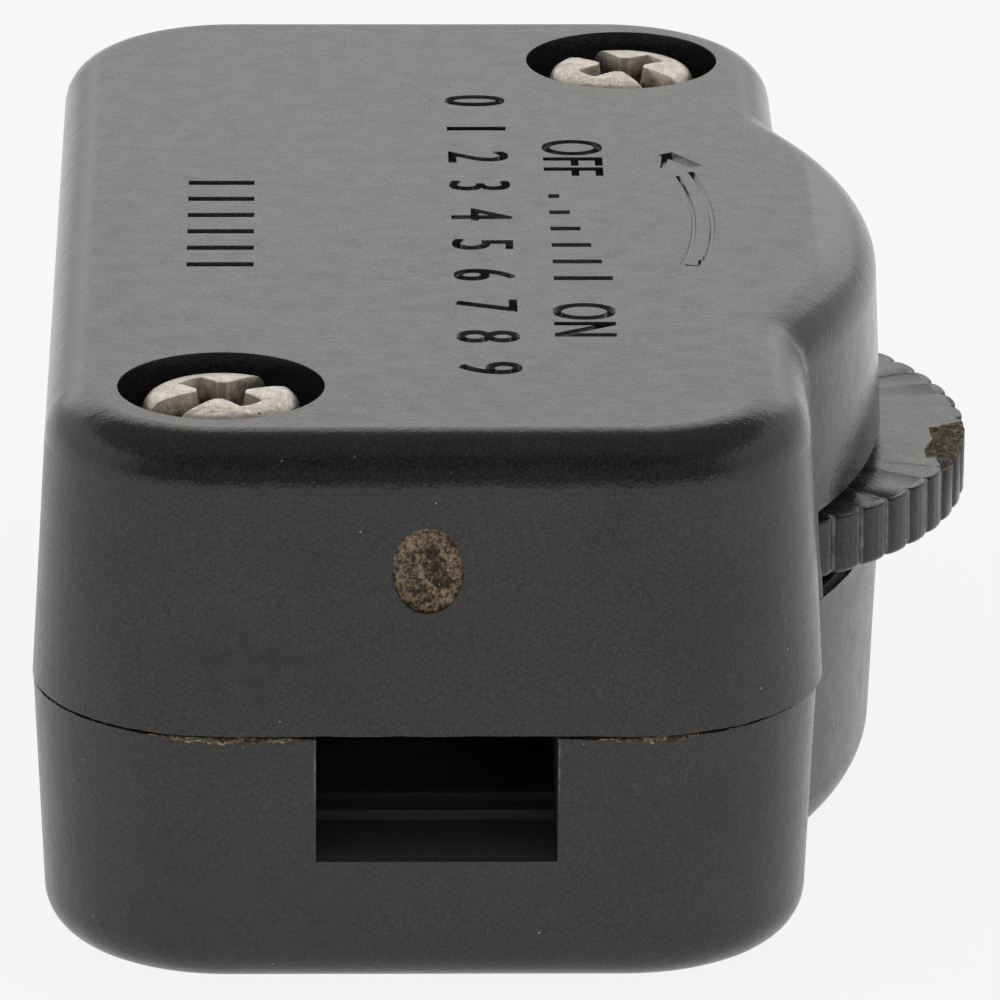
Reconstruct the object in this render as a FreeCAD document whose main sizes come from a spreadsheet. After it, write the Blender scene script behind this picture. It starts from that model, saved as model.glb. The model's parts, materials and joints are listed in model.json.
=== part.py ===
import FreeCAD, Part
import math
import os
import re
import Sketcher

# Inline cord switch for a flat twin cord: two moulded shells held by two screws, with a thumbwheel
# that stands out of a bulge in one long side.
# Frame: X towards the thumbwheel, Y along the cord, Z up. The origin is on the resting plane,
# below the middle of the shells. Lengths are millimetres, angles are degrees.

document = FreeCAD.newDocument("InlineCordSwitch")
sheet = document.addObject("Spreadsheet::Sheet", "Sizes")

DIMENSIONS = {
    # outside of the shells, measured where they meet
    "shell_length": 51.3,
    "upper_width": 27.6,
    "upper_height": 10.57,
    "upper_taper": 3.2,
    "top_edge_radius": 1.75,
    "corner_radius": 6.8,
    "seam_step_length": 0.2,
    "seam_step_width": 0.2,
    "lower_height": 9.43,
    "lower_taper": 2.5,
    "lower_offset": -0.08,
    "bottom_edge_radius": 1.7,
    # bulge over the thumbwheel
    "bulge_rise": 3.0,
    "bulge_radius": 26.4,
    "bulge_taper": 2.4,
    "bulge_step": 0.1,
    "valley_radius": 2.0,
    # walls
    "wall": 1.8,
    "roof": 1.8,
    "floor": 2.0,
    # the line of the cord, a little beside the middle of the shells
    "centre_x": 0.26,
    # cord channel and its port
    "channel_width": 8.35,
    "channel_depth": 4.65,
    "channel_wall": 1.2,
    "grip_rib_height": 0.35,
    "grip_rib_thickness": 0.7,
    "grip_rib_inset": 4.6,
    "grip_rib_pitch": 1.7,
    "divider_width": 3.7,
    "divider_length": 6.0,
    "side_wall": 2.0,
    "hollow_length": 26.0,
    "hollow_corner": 1.2,
    # screws, bosses and threaded inserts
    "insert_wall": 1.17,
    "screw_shift": 0.73,
    "counterbore_radius": 3.6,
    "screw_head_radius": 2.75,
    "screw_head_height": 2.0,
    "screw_head_sink": 0.37,
    "screw_head_rounding": 0.55,
    "screw_shank_radius": 1.5,
    "screw_length": 12.0,
    "screw_point_chamfer": 0.4,
    "screw_hole_clearance": 0.2,
    "slot_width": 1.0,
    "slot_depth": 0.8,
    "cross_length": 3.6,
    "cross_width": 1.0,
    "cross_depth": 1.3,
    "screw_near_angle": 39.0,
    "screw_far_angle": -54.0,
    "boss_radius": 3.3,
    "shoulder_radius": 4.75,
    "shoulder_thickness": 1.6,
    "insert_radius": 2.1,
    "insert_length": 6.0,
    "insert_groove_width": 1.4,
    "insert_groove_depth": 0.35,
    "insert_end_gap": 0.15,
    "thread_clearance": 0.03,
    # thumbwheel
    "wheel_radius": 13.35,
    "wheel_exposure": 3.0,
    "wheel_thickness": 2.18,
    "wheel_gap": 0.47,
    "wheel_rest_angle": 26.0,
    "wheel_travel": 300.0,
    "tooth_count": 60,
    "tooth_shoulder_radius": 0.5,
    "tooth_shoulder_spread": 0.46,
    "tooth_shoulder_lift": 0.06,
    "wheel_slot_height": 3.3,
    "wheel_slot_margin": 0.5,
    "hub_radius": 2.6,
    "pin_radius": 1.5,
    "pin_head_radius": 2.8,
    "pin_head_height": 0.55,
    "pin_recess_margin": 0.3,
    "pin_recess_depth": 0.7,
    "rivet_height": 0.4,
    "rivet_lip": 0.5,
    "running_clearance": 0.05,
    "stop_track_radius": 9.0,
    "stop_groove_width": 1.5,
    "stop_groove_depth": 0.9,
    "stop_pin_radius": 0.6,
    "stop_clearance": 0.1,
    # circuit board, tracks and card
    "board_rise": 3.62,
    "board_thickness": 1.2,
    "board_side_gap": 1.4,
    "board_end_gap": 0.85,
    "board_corner": 5.0,
    "board_lobe_radius": 8.1,
    "fit_clearance": 0.3,
    "post_radius": 1.5,
    "post_side_inset": 1.6,
    "post_end_inset": 3.3,
    "card_thickness": 0.25,
    "track_thickness": 0.1,
    "collector_inner_radius": 3.9,
    "collector_width": 0.8,
    "carbon_inner_radius": 5.3,
    "carbon_width": 1.2,
    "carbon_angle": 294.0,
    "carbon_start": 41.0,
    "switch_inner_radius": 7.0,
    "switch_width": 0.8,
    "switch_angle": 294.0,
    "switch_start": 221.0,
    # contacts
    "contact_clearance": 0.06,
    "spring_thickness": 0.2,
    "wiper_width": 1.6,
    "wiper_ring_width": 0.9,
    "wiper_reach": 6.3,
    "bridge_width": 1.4,
    "bridge_seat": 1.2,
    "prong_thickness": 0.6,
    "prong_width": 2.4,
    "prong_shoulder": 0.6,
    "prong_shoulder_height": 0.9,
    "prong_reach": 3.2,
    "prong_tip": 1.6,
    "conductor_offset": 1.95,
    # parts on the board
    "heat_sink_width": 7.7,
    "heat_sink_length": 12.5,
    "heat_sink_thickness": 0.8,
    "heat_sink_x": -3.35,
    "heat_sink_y": 9.35,
    "heat_sink_lip": 1.6,
    "triac_width": 7.0,
    "triac_length": 11.0,
    "triac_thickness": 2.5,
    "triac_lead_pitch": 2.2,
    "triac_lead_width": 0.7,
    "triac_lead_run": 1.0,
    "capacitor_length": 9.8,
    "capacitor_width": 7.4,
    "capacitor_height": 3.4,
    "capacitor_edge_gap": 0.8,
    "capacitor_y": -6.2,
    "capacitor_edge_radius": 0.7,
    "diac_radius": 0.9,
    "diac_length": 3.8,
    "diac_pitch": 6.4,
    "resistor_radius": 0.9,
    "resistor_length": 3.4,
    "resistor_pitch": 6.2,
    "lead_radius": 0.28,
    "lead_bend": 0.7,
    "component_rise": 0.25,
    "diac_x": 5.5,
    "diac_y": -7.5,
    "gate_resistor_x": 4.6,
    "gate_resistor_y": 6.4,
    "bleed_resistor_x": 8.6,
    "bleed_resistor_y": 5.4,
}

for row, (alias, number) in enumerate(DIMENSIONS.items(), start=1):
    sheet.set(f"A{row}", alias.replace("_", " "))
    sheet.set(f"B{row}", str(number))
    sheet.setAlias(f"B{row}", alias)
document.recompute()

WORD = re.compile(r"\b(" + "|".join(DIMENSIONS) + r")\b")

# Heights and places that several pieces share, written as formulas of the sizes.
LOWER_LENGTH = "(shell_length - seam_step_length)"
LOWER_WIDTH = "(upper_width - seam_step_width)"
BULGE_REACH = "(upper_width / 2 + bulge_rise)"
TOP = "(lower_height + upper_height)"
WHEEL_BOTTOM = "(lower_height + wheel_gap)"
WHEEL_TOP = f"({WHEEL_BOTTOM} + wheel_thickness)"
BOARD_BOTTOM = "(lower_height + board_rise)"
BOARD_TOP = f"({BOARD_BOTTOM} + board_thickness)"
SCREW_SEAT = f"({TOP} - screw_head_sink - screw_head_height)"
ROOF_INSIDE = "(upper_height - roof)"
TRACK_FACE = f"({BOARD_BOTTOM} - track_thickness)"
SPRING_RISE = f"({TRACK_FACE} - contact_clearance - {WHEEL_TOP})"
STOP_ANGLE = "(wheel_rest_angle + wheel_travel / 2)"
PRONG_X = "(centre_x + conductor_offset)"

# The wheel stands out of the bulge. The screws stand beside the channel, and between the wheel's
# slot and the ends of the shells. The board fills the hollow and is clamped near its corners.
WHEEL_X = f"({BULGE_REACH} + wheel_exposure - wheel_radius)"
SLOT_RADIUS = "(wheel_radius + wheel_slot_margin)"
SCREW_X = "(channel_width / 2 + insert_wall + insert_radius)"
SCREW_Y = f"(({SLOT_RADIUS} + shell_length / 2) / 2 - screw_shift)"
HOLLOW_WIDTH = f"({LOWER_WIDTH} / 2 - side_wall - channel_width / 2 - channel_wall)"
BOARD_WIDTH = "(upper_width - 2 * (wall + board_side_gap))"
BOARD_LENGTH = "(shell_length - 2 * (wall + board_end_gap))"
POST_X = f"({BOARD_WIDTH} / 2 - post_side_inset)"
POST_Y = f"({BOARD_LENGTH} / 2 - post_end_inset)"


def link(formula):
    """The formula with each size written as a reference to its cell."""
    return WORD.sub(r"Sizes.\1", formula)


def value(formula):
    return float(sheet.evalExpression(link(formula)))


def bind(thing, place, formula):
    thing.setExpression(place, link(formula))


def new_body(label, x="0", y="0", z="0", turn="0"):
    """An empty body that stands at a place worked out from the sizes."""
    body = document.addObject("PartDesign::Body", label)
    body.Label = label
    for axis, formula in zip("xyz", (x, y, z)):
        bind(body, "Placement.Base." + axis, formula)
    if turn != "0":
        bind(body, "Placement.Rotation.Angle", turn)
    return body


def origin_feature(body, role):
    return next(item for item in body.Origin.OriginFeatures if item.Role == role)


def new_sketch(body, name, plane="XY_Plane", x="0", y="0", z="0", turn="0"):
    """A sketch on one of the body's own planes; z is its offset along that plane's normal."""
    sketch = body.newObject("Sketcher::SketchObject", name)
    sketch.AttachmentSupport = [(origin_feature(body, plane), "")]
    sketch.MapMode = "FlatFace"
    for axis, formula in zip("xyz", (x, y, z)):
        if formula != "0":
            bind(sketch, "AttachmentOffset.Base." + axis, formula)
    if turn != "0":
        bind(sketch, "AttachmentOffset.Rotation.Angle", turn)
    return sketch


def constrain(sketch, kind, *where, formula=None):
    if formula is None:
        return sketch.addConstraint(Sketcher.Constraint(kind, *where))
    number = sketch.addConstraint(Sketcher.Constraint(kind, *where, value(formula)))
    bind(sketch, f"Constraints[{number}]", formula)
    return number


def point(x, y):
    return FreeCAD.Vector(x, y, 0)


def draw_circle(sketch, radius):
    """A circle about the sketch's origin; a second one makes a ring."""
    circle = sketch.addGeometry(Part.Circle(point(0, 0), FreeCAD.Vector(0, 0, 1), value(radius)))
    constrain(sketch, "Coincident", circle, 3, -1, 1)
    constrain(sketch, "Radius", circle, formula=radius)


def fix_vertex(sketch, line, x, y):
    """Ties the start of a line to a place worked out from the sizes."""
    for kind, axis, formula in (("DistanceX", -2, x), ("DistanceY", -1, y)):
        number = value(formula)
        if abs(number) < 1e-9:
            constrain(sketch, "PointOnObject", line, 1, axis)
        elif number > 0:
            constrain(sketch, kind, -1, 1, line, 1, formula=formula)
        else:
            constrain(sketch, kind, line, 1, -1, 1, formula=f"-({formula})")


def draw_polygon(sketch, corners):
    """A closed outline through corners that are pairs of formulas."""
    places = [point(value(x), value(y)) for x, y in corners]
    count = len(places)
    lines = [
        sketch.addGeometry(Part.LineSegment(places[i], places[(i + 1) % count]))
        for i in range(count)
    ]
    for i, line in enumerate(lines):
        constrain(sketch, "Coincident", line, 2, lines[(i + 1) % count], 1)
    for line, (x, y) in zip(lines, corners):
        fix_vertex(sketch, line, x, y)


def draw_rectangle(sketch, width, length):
    across = f"({width}) / 2"
    along = f"({length}) / 2"
    draw_polygon(
        sketch,
        [(f"-{across}", f"-{along}"), (across, f"-{along}"), (across, along), (f"-{across}", along)],
    )


def draw_rounded_rectangle(sketch, width, length, radius):
    """A rectangle about the sketch's origin whose corners are arcs tangent to its sides."""
    across, along, bend = value(width) / 2, value(length) / 2, value(radius)
    quarter = math.pi / 2
    centres = [
        (across - bend, along - bend),
        (bend - across, along - bend),
        (bend - across, bend - along),
        (across - bend, bend - along),
    ]
    arcs = []
    for turn, (x, y) in enumerate(centres):
        circle = Part.Circle(point(x, y), FreeCAD.Vector(0, 0, 1), bend)
        arcs.append(sketch.addGeometry(Part.ArcOfCircle(circle, turn * quarter, (turn + 1) * quarter)))
    sides = [
        ((across - bend, along), (bend - across, along)),
        ((-across, along - bend), (-across, bend - along)),
        ((bend - across, -along), (across - bend, -along)),
        ((across, bend - along), (across, along - bend)),
    ]
    lines = [sketch.addGeometry(Part.LineSegment(point(*a), point(*b))) for a, b in sides]
    for turn in range(4):
        constrain(sketch, "Tangent", arcs[turn], 2, lines[turn], 1)
        constrain(sketch, "Tangent", lines[turn], 2, arcs[(turn + 1) % 4], 1)
    for line, kind in zip(lines, ("Horizontal", "Vertical", "Horizontal", "Vertical")):
        constrain(sketch, kind, line)
    for arc in arcs[1:]:
        constrain(sketch, "Equal", arcs[0], arc)
    constrain(sketch, "Radius", arcs[0], formula=radius)
    constrain(sketch, "Symmetric", arcs[0], 3, arcs[2], 3, -1, 1)
    constrain(sketch, "DistanceX", lines[1], 1, lines[3], 1, formula=width)
    constrain(sketch, "DistanceY", lines[2], 1, lines[0], 1, formula=length)


def draw_segment(sketch, radius, chord):
    """A circle about the sketch's origin, cut off by a line at the distance chord along X."""
    reach, cut = value(radius), value(chord)
    half_angle = math.acos(cut / reach)
    half_chord = math.sqrt(reach**2 - cut**2)
    circle = Part.Circle(point(0, 0), FreeCAD.Vector(0, 0, 1), reach)
    arc = sketch.addGeometry(Part.ArcOfCircle(circle, -half_angle, half_angle))
    line = sketch.addGeometry(Part.LineSegment(point(cut, half_chord), point(cut, -half_chord)))
    constrain(sketch, "Coincident", arc, 3, -1, 1)
    constrain(sketch, "Radius", arc, formula=radius)
    constrain(sketch, "Coincident", arc, 2, line, 1)
    constrain(sketch, "Coincident", line, 2, arc, 1)
    constrain(sketch, "Vertical", line)
    constrain(sketch, "DistanceX", -1, 1, line, 1, formula=chord)


def add_pad(body, sketch, length, taper=None, down=False, both_ways=False):
    pad = body.newObject("PartDesign::Pad", "Pad")
    pad.Profile = sketch
    pad.Reversed = down
    pad.Midplane = both_ways
    bind(pad, "Length", length)
    if taper:
        bind(pad, "TaperAngle", f"-{taper}")
    document.recompute()
    return pad


def add_pocket(body, sketch, depth, taper=None, up=False, both_ways=False):
    """A pocket that has to take material away."""
    before = body.Shape.Volume
    pocket = body.newObject("PartDesign::Pocket", "Pocket")
    pocket.Profile = sketch
    pocket.Reversed = up
    pocket.Midplane = both_ways
    bind(pocket, "Length", depth)
    if taper:
        bind(pocket, "TaperAngle", f"-{taper}")
    document.recompute()
    if not body.Shape.Volume < before - 1e-6:
        raise RuntimeError(f"{sketch.Name} takes nothing from {body.Label}")
    return pocket


def add_revolution(body, sketch, angle="360", groove=False, both_ways=False):
    """Turns a sketch on the XZ plane about the body's Z axis."""
    before = body.Shape.Volume if groove else 0.0
    kind = "PartDesign::Groove" if groove else "PartDesign::Revolution"
    feature = body.newObject(kind, "Turned")
    feature.Profile = sketch
    feature.ReferenceAxis = (origin_feature(body, "Z_Axis"), [""])
    feature.Midplane = both_ways
    bind(feature, "Angle", angle)
    document.recompute()
    if groove and not body.Shape.Volume < before - 1e-6:
        raise RuntimeError(f"{sketch.Name} takes nothing from {body.Label}")
    return feature


def add_fillet(body, radius, wanted, count=None):
    """Rounds the edges of the body's last feature that the test picks."""
    base = body.Tip
    shape = base.Shape
    edges = [f"Edge{i}" for i, edge in enumerate(shape.Edges, start=1) if wanted(shape, edge)]
    if not edges or (count is not None and len(edges) != count):
        raise RuntimeError(f"{body.Label} has {len(edges)} edges to round")
    fillet = body.newObject("PartDesign::Fillet", "Fillet")
    fillet.Base = (base, edges)
    bind(fillet, "Radius", radius)
    document.recompute()
    return fillet


def lies_at(height):
    """Picks the edges that lie flat at a height of the body."""
    level = value(height)

    def test(_, edge):
        box = edge.BoundBox
        return abs(box.ZMin - level) < 1e-4 and abs(box.ZMax - level) < 1e-4

    return test


def bulge_centre(step="0", inset="0"):
    """Where the bulge's arc is centred and how large it is, for a step back or a wall inwards."""
    return f"({BULGE_REACH} - {step} - bulge_radius)", f"(bulge_radius - {inset})"


def is_valley(shape, edge):
    """Picks the upright edges where two faces meet at an angle: those beside the bulge."""
    box = edge.BoundBox
    if box.ZLength < max(box.XLength, box.YLength):
        return False
    middle = edge.valueAt((edge.FirstParameter + edge.LastParameter) / 2)
    faces = shape.ancestorsOfType(edge, Part.Face)
    first, second = [face.normalAt(*face.Surface.parameter(middle)) for face in faces]
    sharp = math.radians(5)
    return first.getAngle(second) > sharp


def add_shell_block(body, width, length, height, taper, height_at, down, x, step):
    """The drafted block of one shell with its bulge, before any edge is rounded."""
    outline = new_sketch(body, "Outline", x=x, z=height_at)
    draw_rounded_rectangle(outline, width, length, "corner_radius")
    add_pad(body, outline, height, taper=taper, down=down)
    centre, radius = bulge_centre(step=step)
    bulge = new_sketch(body, "Bulge", x=centre, z=height_at)
    draw_segment(bulge, radius, f"upper_width / 4 - {centre}")
    add_pad(body, bulge, height, taper="bulge_taper", down=down)
    add_fillet(body, "valley_radius", is_valley, count=2)


def screw_places():
    """Where the two screws stand: one at the front left, one at the back right."""
    return ((f"centre_x - {SCREW_X}", f"-{SCREW_Y}"), (f"centre_x + {SCREW_X}", SCREW_Y))


def post_places():
    """Where the board is clamped: the two corners without a screw."""
    return ((f"-{POST_X}", POST_Y), (POST_X, f"-{POST_Y}"))


def make_upper_shell():
    """Moulded cover: drafted block, bulge, hollow, screw bosses, board pads and wheel slot."""
    body = new_body("upper_shell", z="lower_height")
    add_shell_block(
        body, "upper_width", "shell_length", "upper_height", "upper_taper", "0", False, "0", "0"
    )
    add_fillet(body, "top_edge_radius", lies_at("upper_height"))

    hollow = new_sketch(body, "Hollow")
    draw_rounded_rectangle(
        hollow, "upper_width - 2 * wall", "shell_length - 2 * wall", "corner_radius - wall"
    )
    add_pocket(body, hollow, ROOF_INSIDE, taper="upper_taper", up=True)
    centre, radius = bulge_centre(inset="wall")
    bulge_hollow = new_sketch(body, "BulgeHollow", x=centre)
    draw_segment(bulge_hollow, radius, f"upper_width / 4 - {centre}")
    add_pocket(body, bulge_hollow, ROOF_INSIDE, taper="bulge_taper", up=True)

    seat = f"({SCREW_SEAT} - lower_height)"
    for x, y in screw_places():
        boss = new_sketch(body, "Boss", x=x, y=y)
        draw_circle(boss, "boss_radius")
        add_pad(body, boss, f"{ROOF_INSIDE} + roof / 2")
        shoulder = new_sketch(body, "Shoulder", x=x, y=y, z=f"{seat} - shoulder_thickness")
        draw_circle(shoulder, "shoulder_radius")
        add_pad(body, shoulder, f"{ROOF_INSIDE} + roof / 2 - {seat} + shoulder_thickness")
    for x, y in post_places():
        pad_top = new_sketch(body, "BoardPad", x=x, y=y, z=f"{BOARD_TOP} - lower_height")
        draw_circle(pad_top, "post_radius")
        add_pad(body, pad_top, f"{TOP} - {BOARD_TOP} - roof / 2")
    for x, y in screw_places():
        counterbore = new_sketch(body, "Counterbore", x=x, y=y, z="upper_height")
        draw_circle(counterbore, "counterbore_radius")
        add_pocket(body, counterbore, f"upper_height - {seat}")
        screw_hole = new_sketch(body, "ScrewHole", x=x, y=y)
        draw_circle(screw_hole, "screw_shank_radius + screw_hole_clearance")
        add_pocket(body, screw_hole, "upper_height", up=True)

    wheel_slot = new_sketch(body, "WheelSlot", x=WHEEL_X)
    draw_circle(wheel_slot, SLOT_RADIUS)
    add_pocket(body, wheel_slot, "wheel_slot_height", up=True)
    return body


def make_lower_shell():
    """Moulded base: cord channel with grip ribs and divider, hollows, insert holes and posts."""
    body = new_body("lower_shell")
    add_shell_block(
        body,
        LOWER_WIDTH,
        LOWER_LENGTH,
        "lower_height",
        "lower_taper",
        "lower_height",
        True,
        "lower_offset",
        "bulge_step",
    )
    add_fillet(body, "bottom_edge_radius", lies_at("0"))

    channel = new_sketch(body, "Channel", x="centre_x", z="lower_height")
    draw_rectangle(channel, "channel_width", "2 * shell_length")
    add_pocket(body, channel, "channel_depth")
    for side in ("", "-"):
        offset = f"{side}(channel_width / 2 + channel_wall + {HOLLOW_WIDTH} / 2)"
        hollow = new_sketch(body, "Hollow", x=f"centre_x + {offset}", z="lower_height")
        draw_rounded_rectangle(hollow, HOLLOW_WIDTH, "hollow_length", "hollow_corner")
        add_pocket(body, hollow, "lower_height - floor")

    channel_floor = "(lower_height - channel_depth)"
    for end in ("", "-"):
        for number in range(2):
            place = f"{end}({LOWER_LENGTH} / 2 - grip_rib_inset - {number} * grip_rib_pitch)"
            rib = new_sketch(body, "GripRib", x="centre_x", y=place, z=f"{channel_floor} - floor / 4")
            draw_rectangle(rib, "channel_width + channel_wall / 2", "grip_rib_thickness")
            add_pad(body, rib, "grip_rib_height + floor / 4")
    divider = new_sketch(
        body,
        "Divider",
        x="centre_x + channel_width / 2 - divider_width / 2 + channel_wall / 4",
        z=f"{channel_floor} - floor / 4",
    )
    draw_rectangle(divider, "divider_width + channel_wall / 2", "divider_length")
    add_pad(body, divider, "channel_depth + floor / 4")

    for x, y in screw_places():
        insert_hole = new_sketch(body, "InsertHole", x=x, y=y, z="lower_height")
        draw_circle(insert_hole, "insert_radius")
        add_pocket(body, insert_hole, "insert_length + 2 * insert_end_gap")
    for x, y in post_places():
        post = new_sketch(body, "Post", x=x, y=y, z="lower_height - floor / 2")
        draw_circle(post, "post_radius")
        add_pad(body, post, "board_rise + floor / 2")
    return body


def make_screw(label, x, y, turn):
    """Pan head screw with a slot and a cross recess; its thread is left plain."""
    body = new_body(label, x=x, y=y, z=SCREW_SEAT, turn=turn)
    profile = new_sketch(body, "Profile", plane="XZ_Plane")
    draw_polygon(
        profile,
        [
            ("0", "screw_head_height"),
            ("0", "-screw_length"),
            ("screw_shank_radius - screw_point_chamfer", "-screw_length"),
            ("screw_shank_radius", "screw_point_chamfer - screw_length"),
            ("screw_shank_radius", "0"),
            ("screw_head_radius", "0"),
            ("screw_head_radius", "screw_head_height"),
        ],
    )
    add_revolution(body, profile)
    add_fillet(body, "screw_head_rounding", lies_at("screw_head_height"))
    recesses = (
        ("2 * screw_head_radius + wall", "slot_width", "slot_depth"),
        ("cross_length", "cross_width", "cross_depth"),
        ("cross_width", "cross_length", "cross_depth"),
    )
    for width, length, depth in recesses:
        recess = new_sketch(body, "Recess", z="screw_head_height")
        draw_rectangle(recess, width, length)
        add_pocket(body, recess, depth)
    return body


def make_insert(label, x, y):
    """Threaded brass insert with a waist that the moulding grips; its thread is left plain."""
    body = new_body(label, x=x, y=y, z="lower_height - insert_end_gap - insert_length")
    profile = new_sketch(body, "Profile", plane="XZ_Plane")
    bore = "screw_shank_radius + thread_clearance"
    outside = "insert_radius"
    waist = "insert_radius - insert_groove_depth"
    waist_low = "insert_length / 2 - insert_groove_width / 2"
    waist_high = "insert_length / 2 + insert_groove_width / 2"
    draw_polygon(
        profile,
        [
            (bore, "0"),
            (outside, "0"),
            (outside, waist_low),
            (waist, waist_low),
            (waist, waist_high),
            (outside, waist_high),
            (outside, "insert_length"),
            (bore, "insert_length"),
        ],
    )
    add_revolution(body, profile)
    return body


def draw_tooth_gap(sketch):
    """The gap between two teeth: their rounded shoulders meet in its bottom. The sketch's origin
    lies one shoulder radius inside the rim."""
    radius = value("tooth_shoulder_radius")
    spread = value("tooth_shoulder_spread")
    lift = value("tooth_shoulder_lift")
    meet = math.acos(spread / radius)
    normal = FreeCAD.Vector(0, 0, 1)
    upper_circle = Part.Circle(point(lift, spread), normal, radius)
    lower_circle = Part.Circle(point(lift, -spread), normal, radius)
    upper = sketch.addGeometry(Part.ArcOfCircle(upper_circle, meet - math.pi / 2, 0))
    lower = sketch.addGeometry(Part.ArcOfCircle(lower_circle, 0, math.pi / 2 - meet))
    edge = lift + radius
    line = sketch.addGeometry(Part.LineSegment(point(edge, -spread), point(edge, spread)))
    constrain(sketch, "Coincident", lower, 1, line, 1)
    constrain(sketch, "Coincident", line, 2, upper, 2)
    constrain(sketch, "Coincident", lower, 2, upper, 1)
    constrain(sketch, "Equal", lower, upper)
    constrain(sketch, "Radius", upper, formula="tooth_shoulder_radius")
    constrain(sketch, "DistanceX", -1, 1, upper, 3, formula="tooth_shoulder_lift")
    constrain(sketch, "DistanceY", -1, 1, upper, 3, formula="tooth_shoulder_spread")
    constrain(sketch, "Symmetric", upper, 3, lower, 3, -1)
    constrain(sketch, "Horizontal", upper, 3, upper, 2)
    constrain(sketch, "Horizontal", lower, 3, lower, 1)


def make_thumbwheel():
    """Toothed disc with a hub, a recess for the pin's head and a groove that ends its travel."""
    body = new_body("thumbwheel", x=WHEEL_X, z=WHEEL_BOTTOM, turn="wheel_rest_angle")
    disc = new_sketch(body, "Disc")
    draw_circle(disc, "wheel_radius")
    add_pad(body, disc, "wheel_thickness")
    gap = new_sketch(body, "ToothGap", x="wheel_radius - tooth_shoulder_radius", z="wheel_thickness")
    draw_tooth_gap(gap)
    gap_cut = add_pocket(body, gap, "wheel_thickness")
    teeth = body.newObject("PartDesign::PolarPattern", "Teeth")
    teeth.Originals = [gap_cut]
    teeth.Axis = (origin_feature(body, "Z_Axis"), [""])
    teeth.Angle = 360
    bind(teeth, "Occurrences", "tooth_count")
    body.Tip = teeth
    document.recompute()

    hub = new_sketch(body, "Hub")
    draw_circle(hub, "hub_radius")
    add_pad(body, hub, f"{BOARD_BOTTOM} - running_clearance - {WHEEL_BOTTOM}")
    recess = new_sketch(body, "HeadRecess")
    draw_circle(recess, "pin_head_radius + pin_recess_margin")
    add_pocket(body, recess, "pin_recess_depth", up=True)
    bore = new_sketch(body, "Bore")
    draw_circle(bore, "pin_radius + running_clearance")
    add_pocket(body, bore, "board_rise", up=True)
    stop_groove = new_sketch(body, "StopGroove", plane="XZ_Plane")
    inner = "stop_track_radius - stop_groove_width / 2"
    outer = "stop_track_radius + stop_groove_width / 2"
    bottom = "wheel_thickness - stop_groove_depth"
    above = "wheel_thickness + wheel_gap"
    draw_polygon(stop_groove, [(inner, bottom), (outer, bottom), (outer, above), (inner, above)])
    end_angle = "asin((stop_pin_radius + stop_clearance) / stop_track_radius)"
    add_revolution(
        body, stop_groove, angle=f"wheel_travel * 1 deg + 2 * {end_angle}", groove=True, both_ways=True
    )
    return body


def make_pin(label, x, y, profile_points, start):
    """A turned pin that is riveted through the board."""
    body = new_body(label, x=x, y=y, z=start)
    profile = new_sketch(body, "Profile", plane="XZ_Plane")
    draw_polygon(profile, profile_points)
    add_revolution(body, profile)
    return body


def make_wheel_pin():
    """The thumbwheel's axle: a head below the wheel and a shoulder that seats on the board."""
    start = f"({WHEEL_BOTTOM} + pin_recess_depth - running_clearance - pin_head_height)"
    shoulder = f"{BOARD_BOTTOM} - {start}"
    rivet = f"{BOARD_TOP} - {start}"
    points = [
        ("0", "0"),
        ("pin_head_radius", "0"),
        ("pin_head_radius", "pin_head_height"),
        ("pin_radius", "pin_head_height"),
        ("pin_radius", shoulder),
        ("pin_radius - rivet_lip", shoulder),
        ("pin_radius - rivet_lip", rivet),
        ("pin_radius", rivet),
        ("pin_radius - rivet_height / 2", f"{rivet} + rivet_height"),
        ("0", f"{rivet} + rivet_height"),
    ]
    return make_pin("wheel_pin", WHEEL_X, "0", points, start)


def stop_place():
    """Where the stop pin stands, on the circle of the wheel's groove."""
    x = f"{WHEEL_X} + stop_track_radius * cos({STOP_ANGLE})"
    y = f"stop_track_radius * sin({STOP_ANGLE})"
    return x, y


def make_stop_pin():
    """The pin that runs in the wheel's groove and stops it at both ends of its travel."""
    start = f"({WHEEL_TOP} - stop_groove_depth + 3 * running_clearance)"
    rivet = f"{BOARD_TOP} - {start}"
    points = [
        ("0", "0"),
        ("stop_pin_radius", "0"),
        ("stop_pin_radius", rivet),
        ("stop_pin_radius + rivet_lip", rivet),
        ("stop_pin_radius", f"{rivet} + rivet_height"),
        ("0", f"{rivet} + rivet_height"),
    ]
    return make_pin("stop_pin", *stop_place(), points, start)


def make_wiper():
    """Brass spring on the wheel's hub: its finger joins the collector ring and the carbon track."""
    body = new_body("wiper", x=WHEEL_X, z=WHEEL_TOP, turn="wheel_rest_angle")
    ring = new_sketch(body, "Ring")
    draw_circle(ring, "hub_radius + running_clearance")
    draw_circle(ring, "hub_radius + running_clearance + wiper_ring_width")
    add_pad(body, ring, "spring_thickness")
    finger = new_sketch(body, "Finger", plane="XZ_Plane")
    root = "hub_radius + wiper_ring_width / 2"
    bend = "hub_radius + wiper_ring_width"
    knee = "collector_inner_radius"
    draw_polygon(
        finger,
        [
            (root, "0"),
            (bend, "0"),
            (f"{knee} + spring_thickness", f"{SPRING_RISE} - spring_thickness"),
            ("wiper_reach", f"{SPRING_RISE} - spring_thickness"),
            ("wiper_reach", SPRING_RISE),
            (knee, SPRING_RISE),
            (f"{bend} - spring_thickness", "spring_thickness"),
            (root, "spring_thickness"),
        ],
    )
    add_pad(body, finger, "wiper_width", both_ways=True)
    return body


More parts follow.
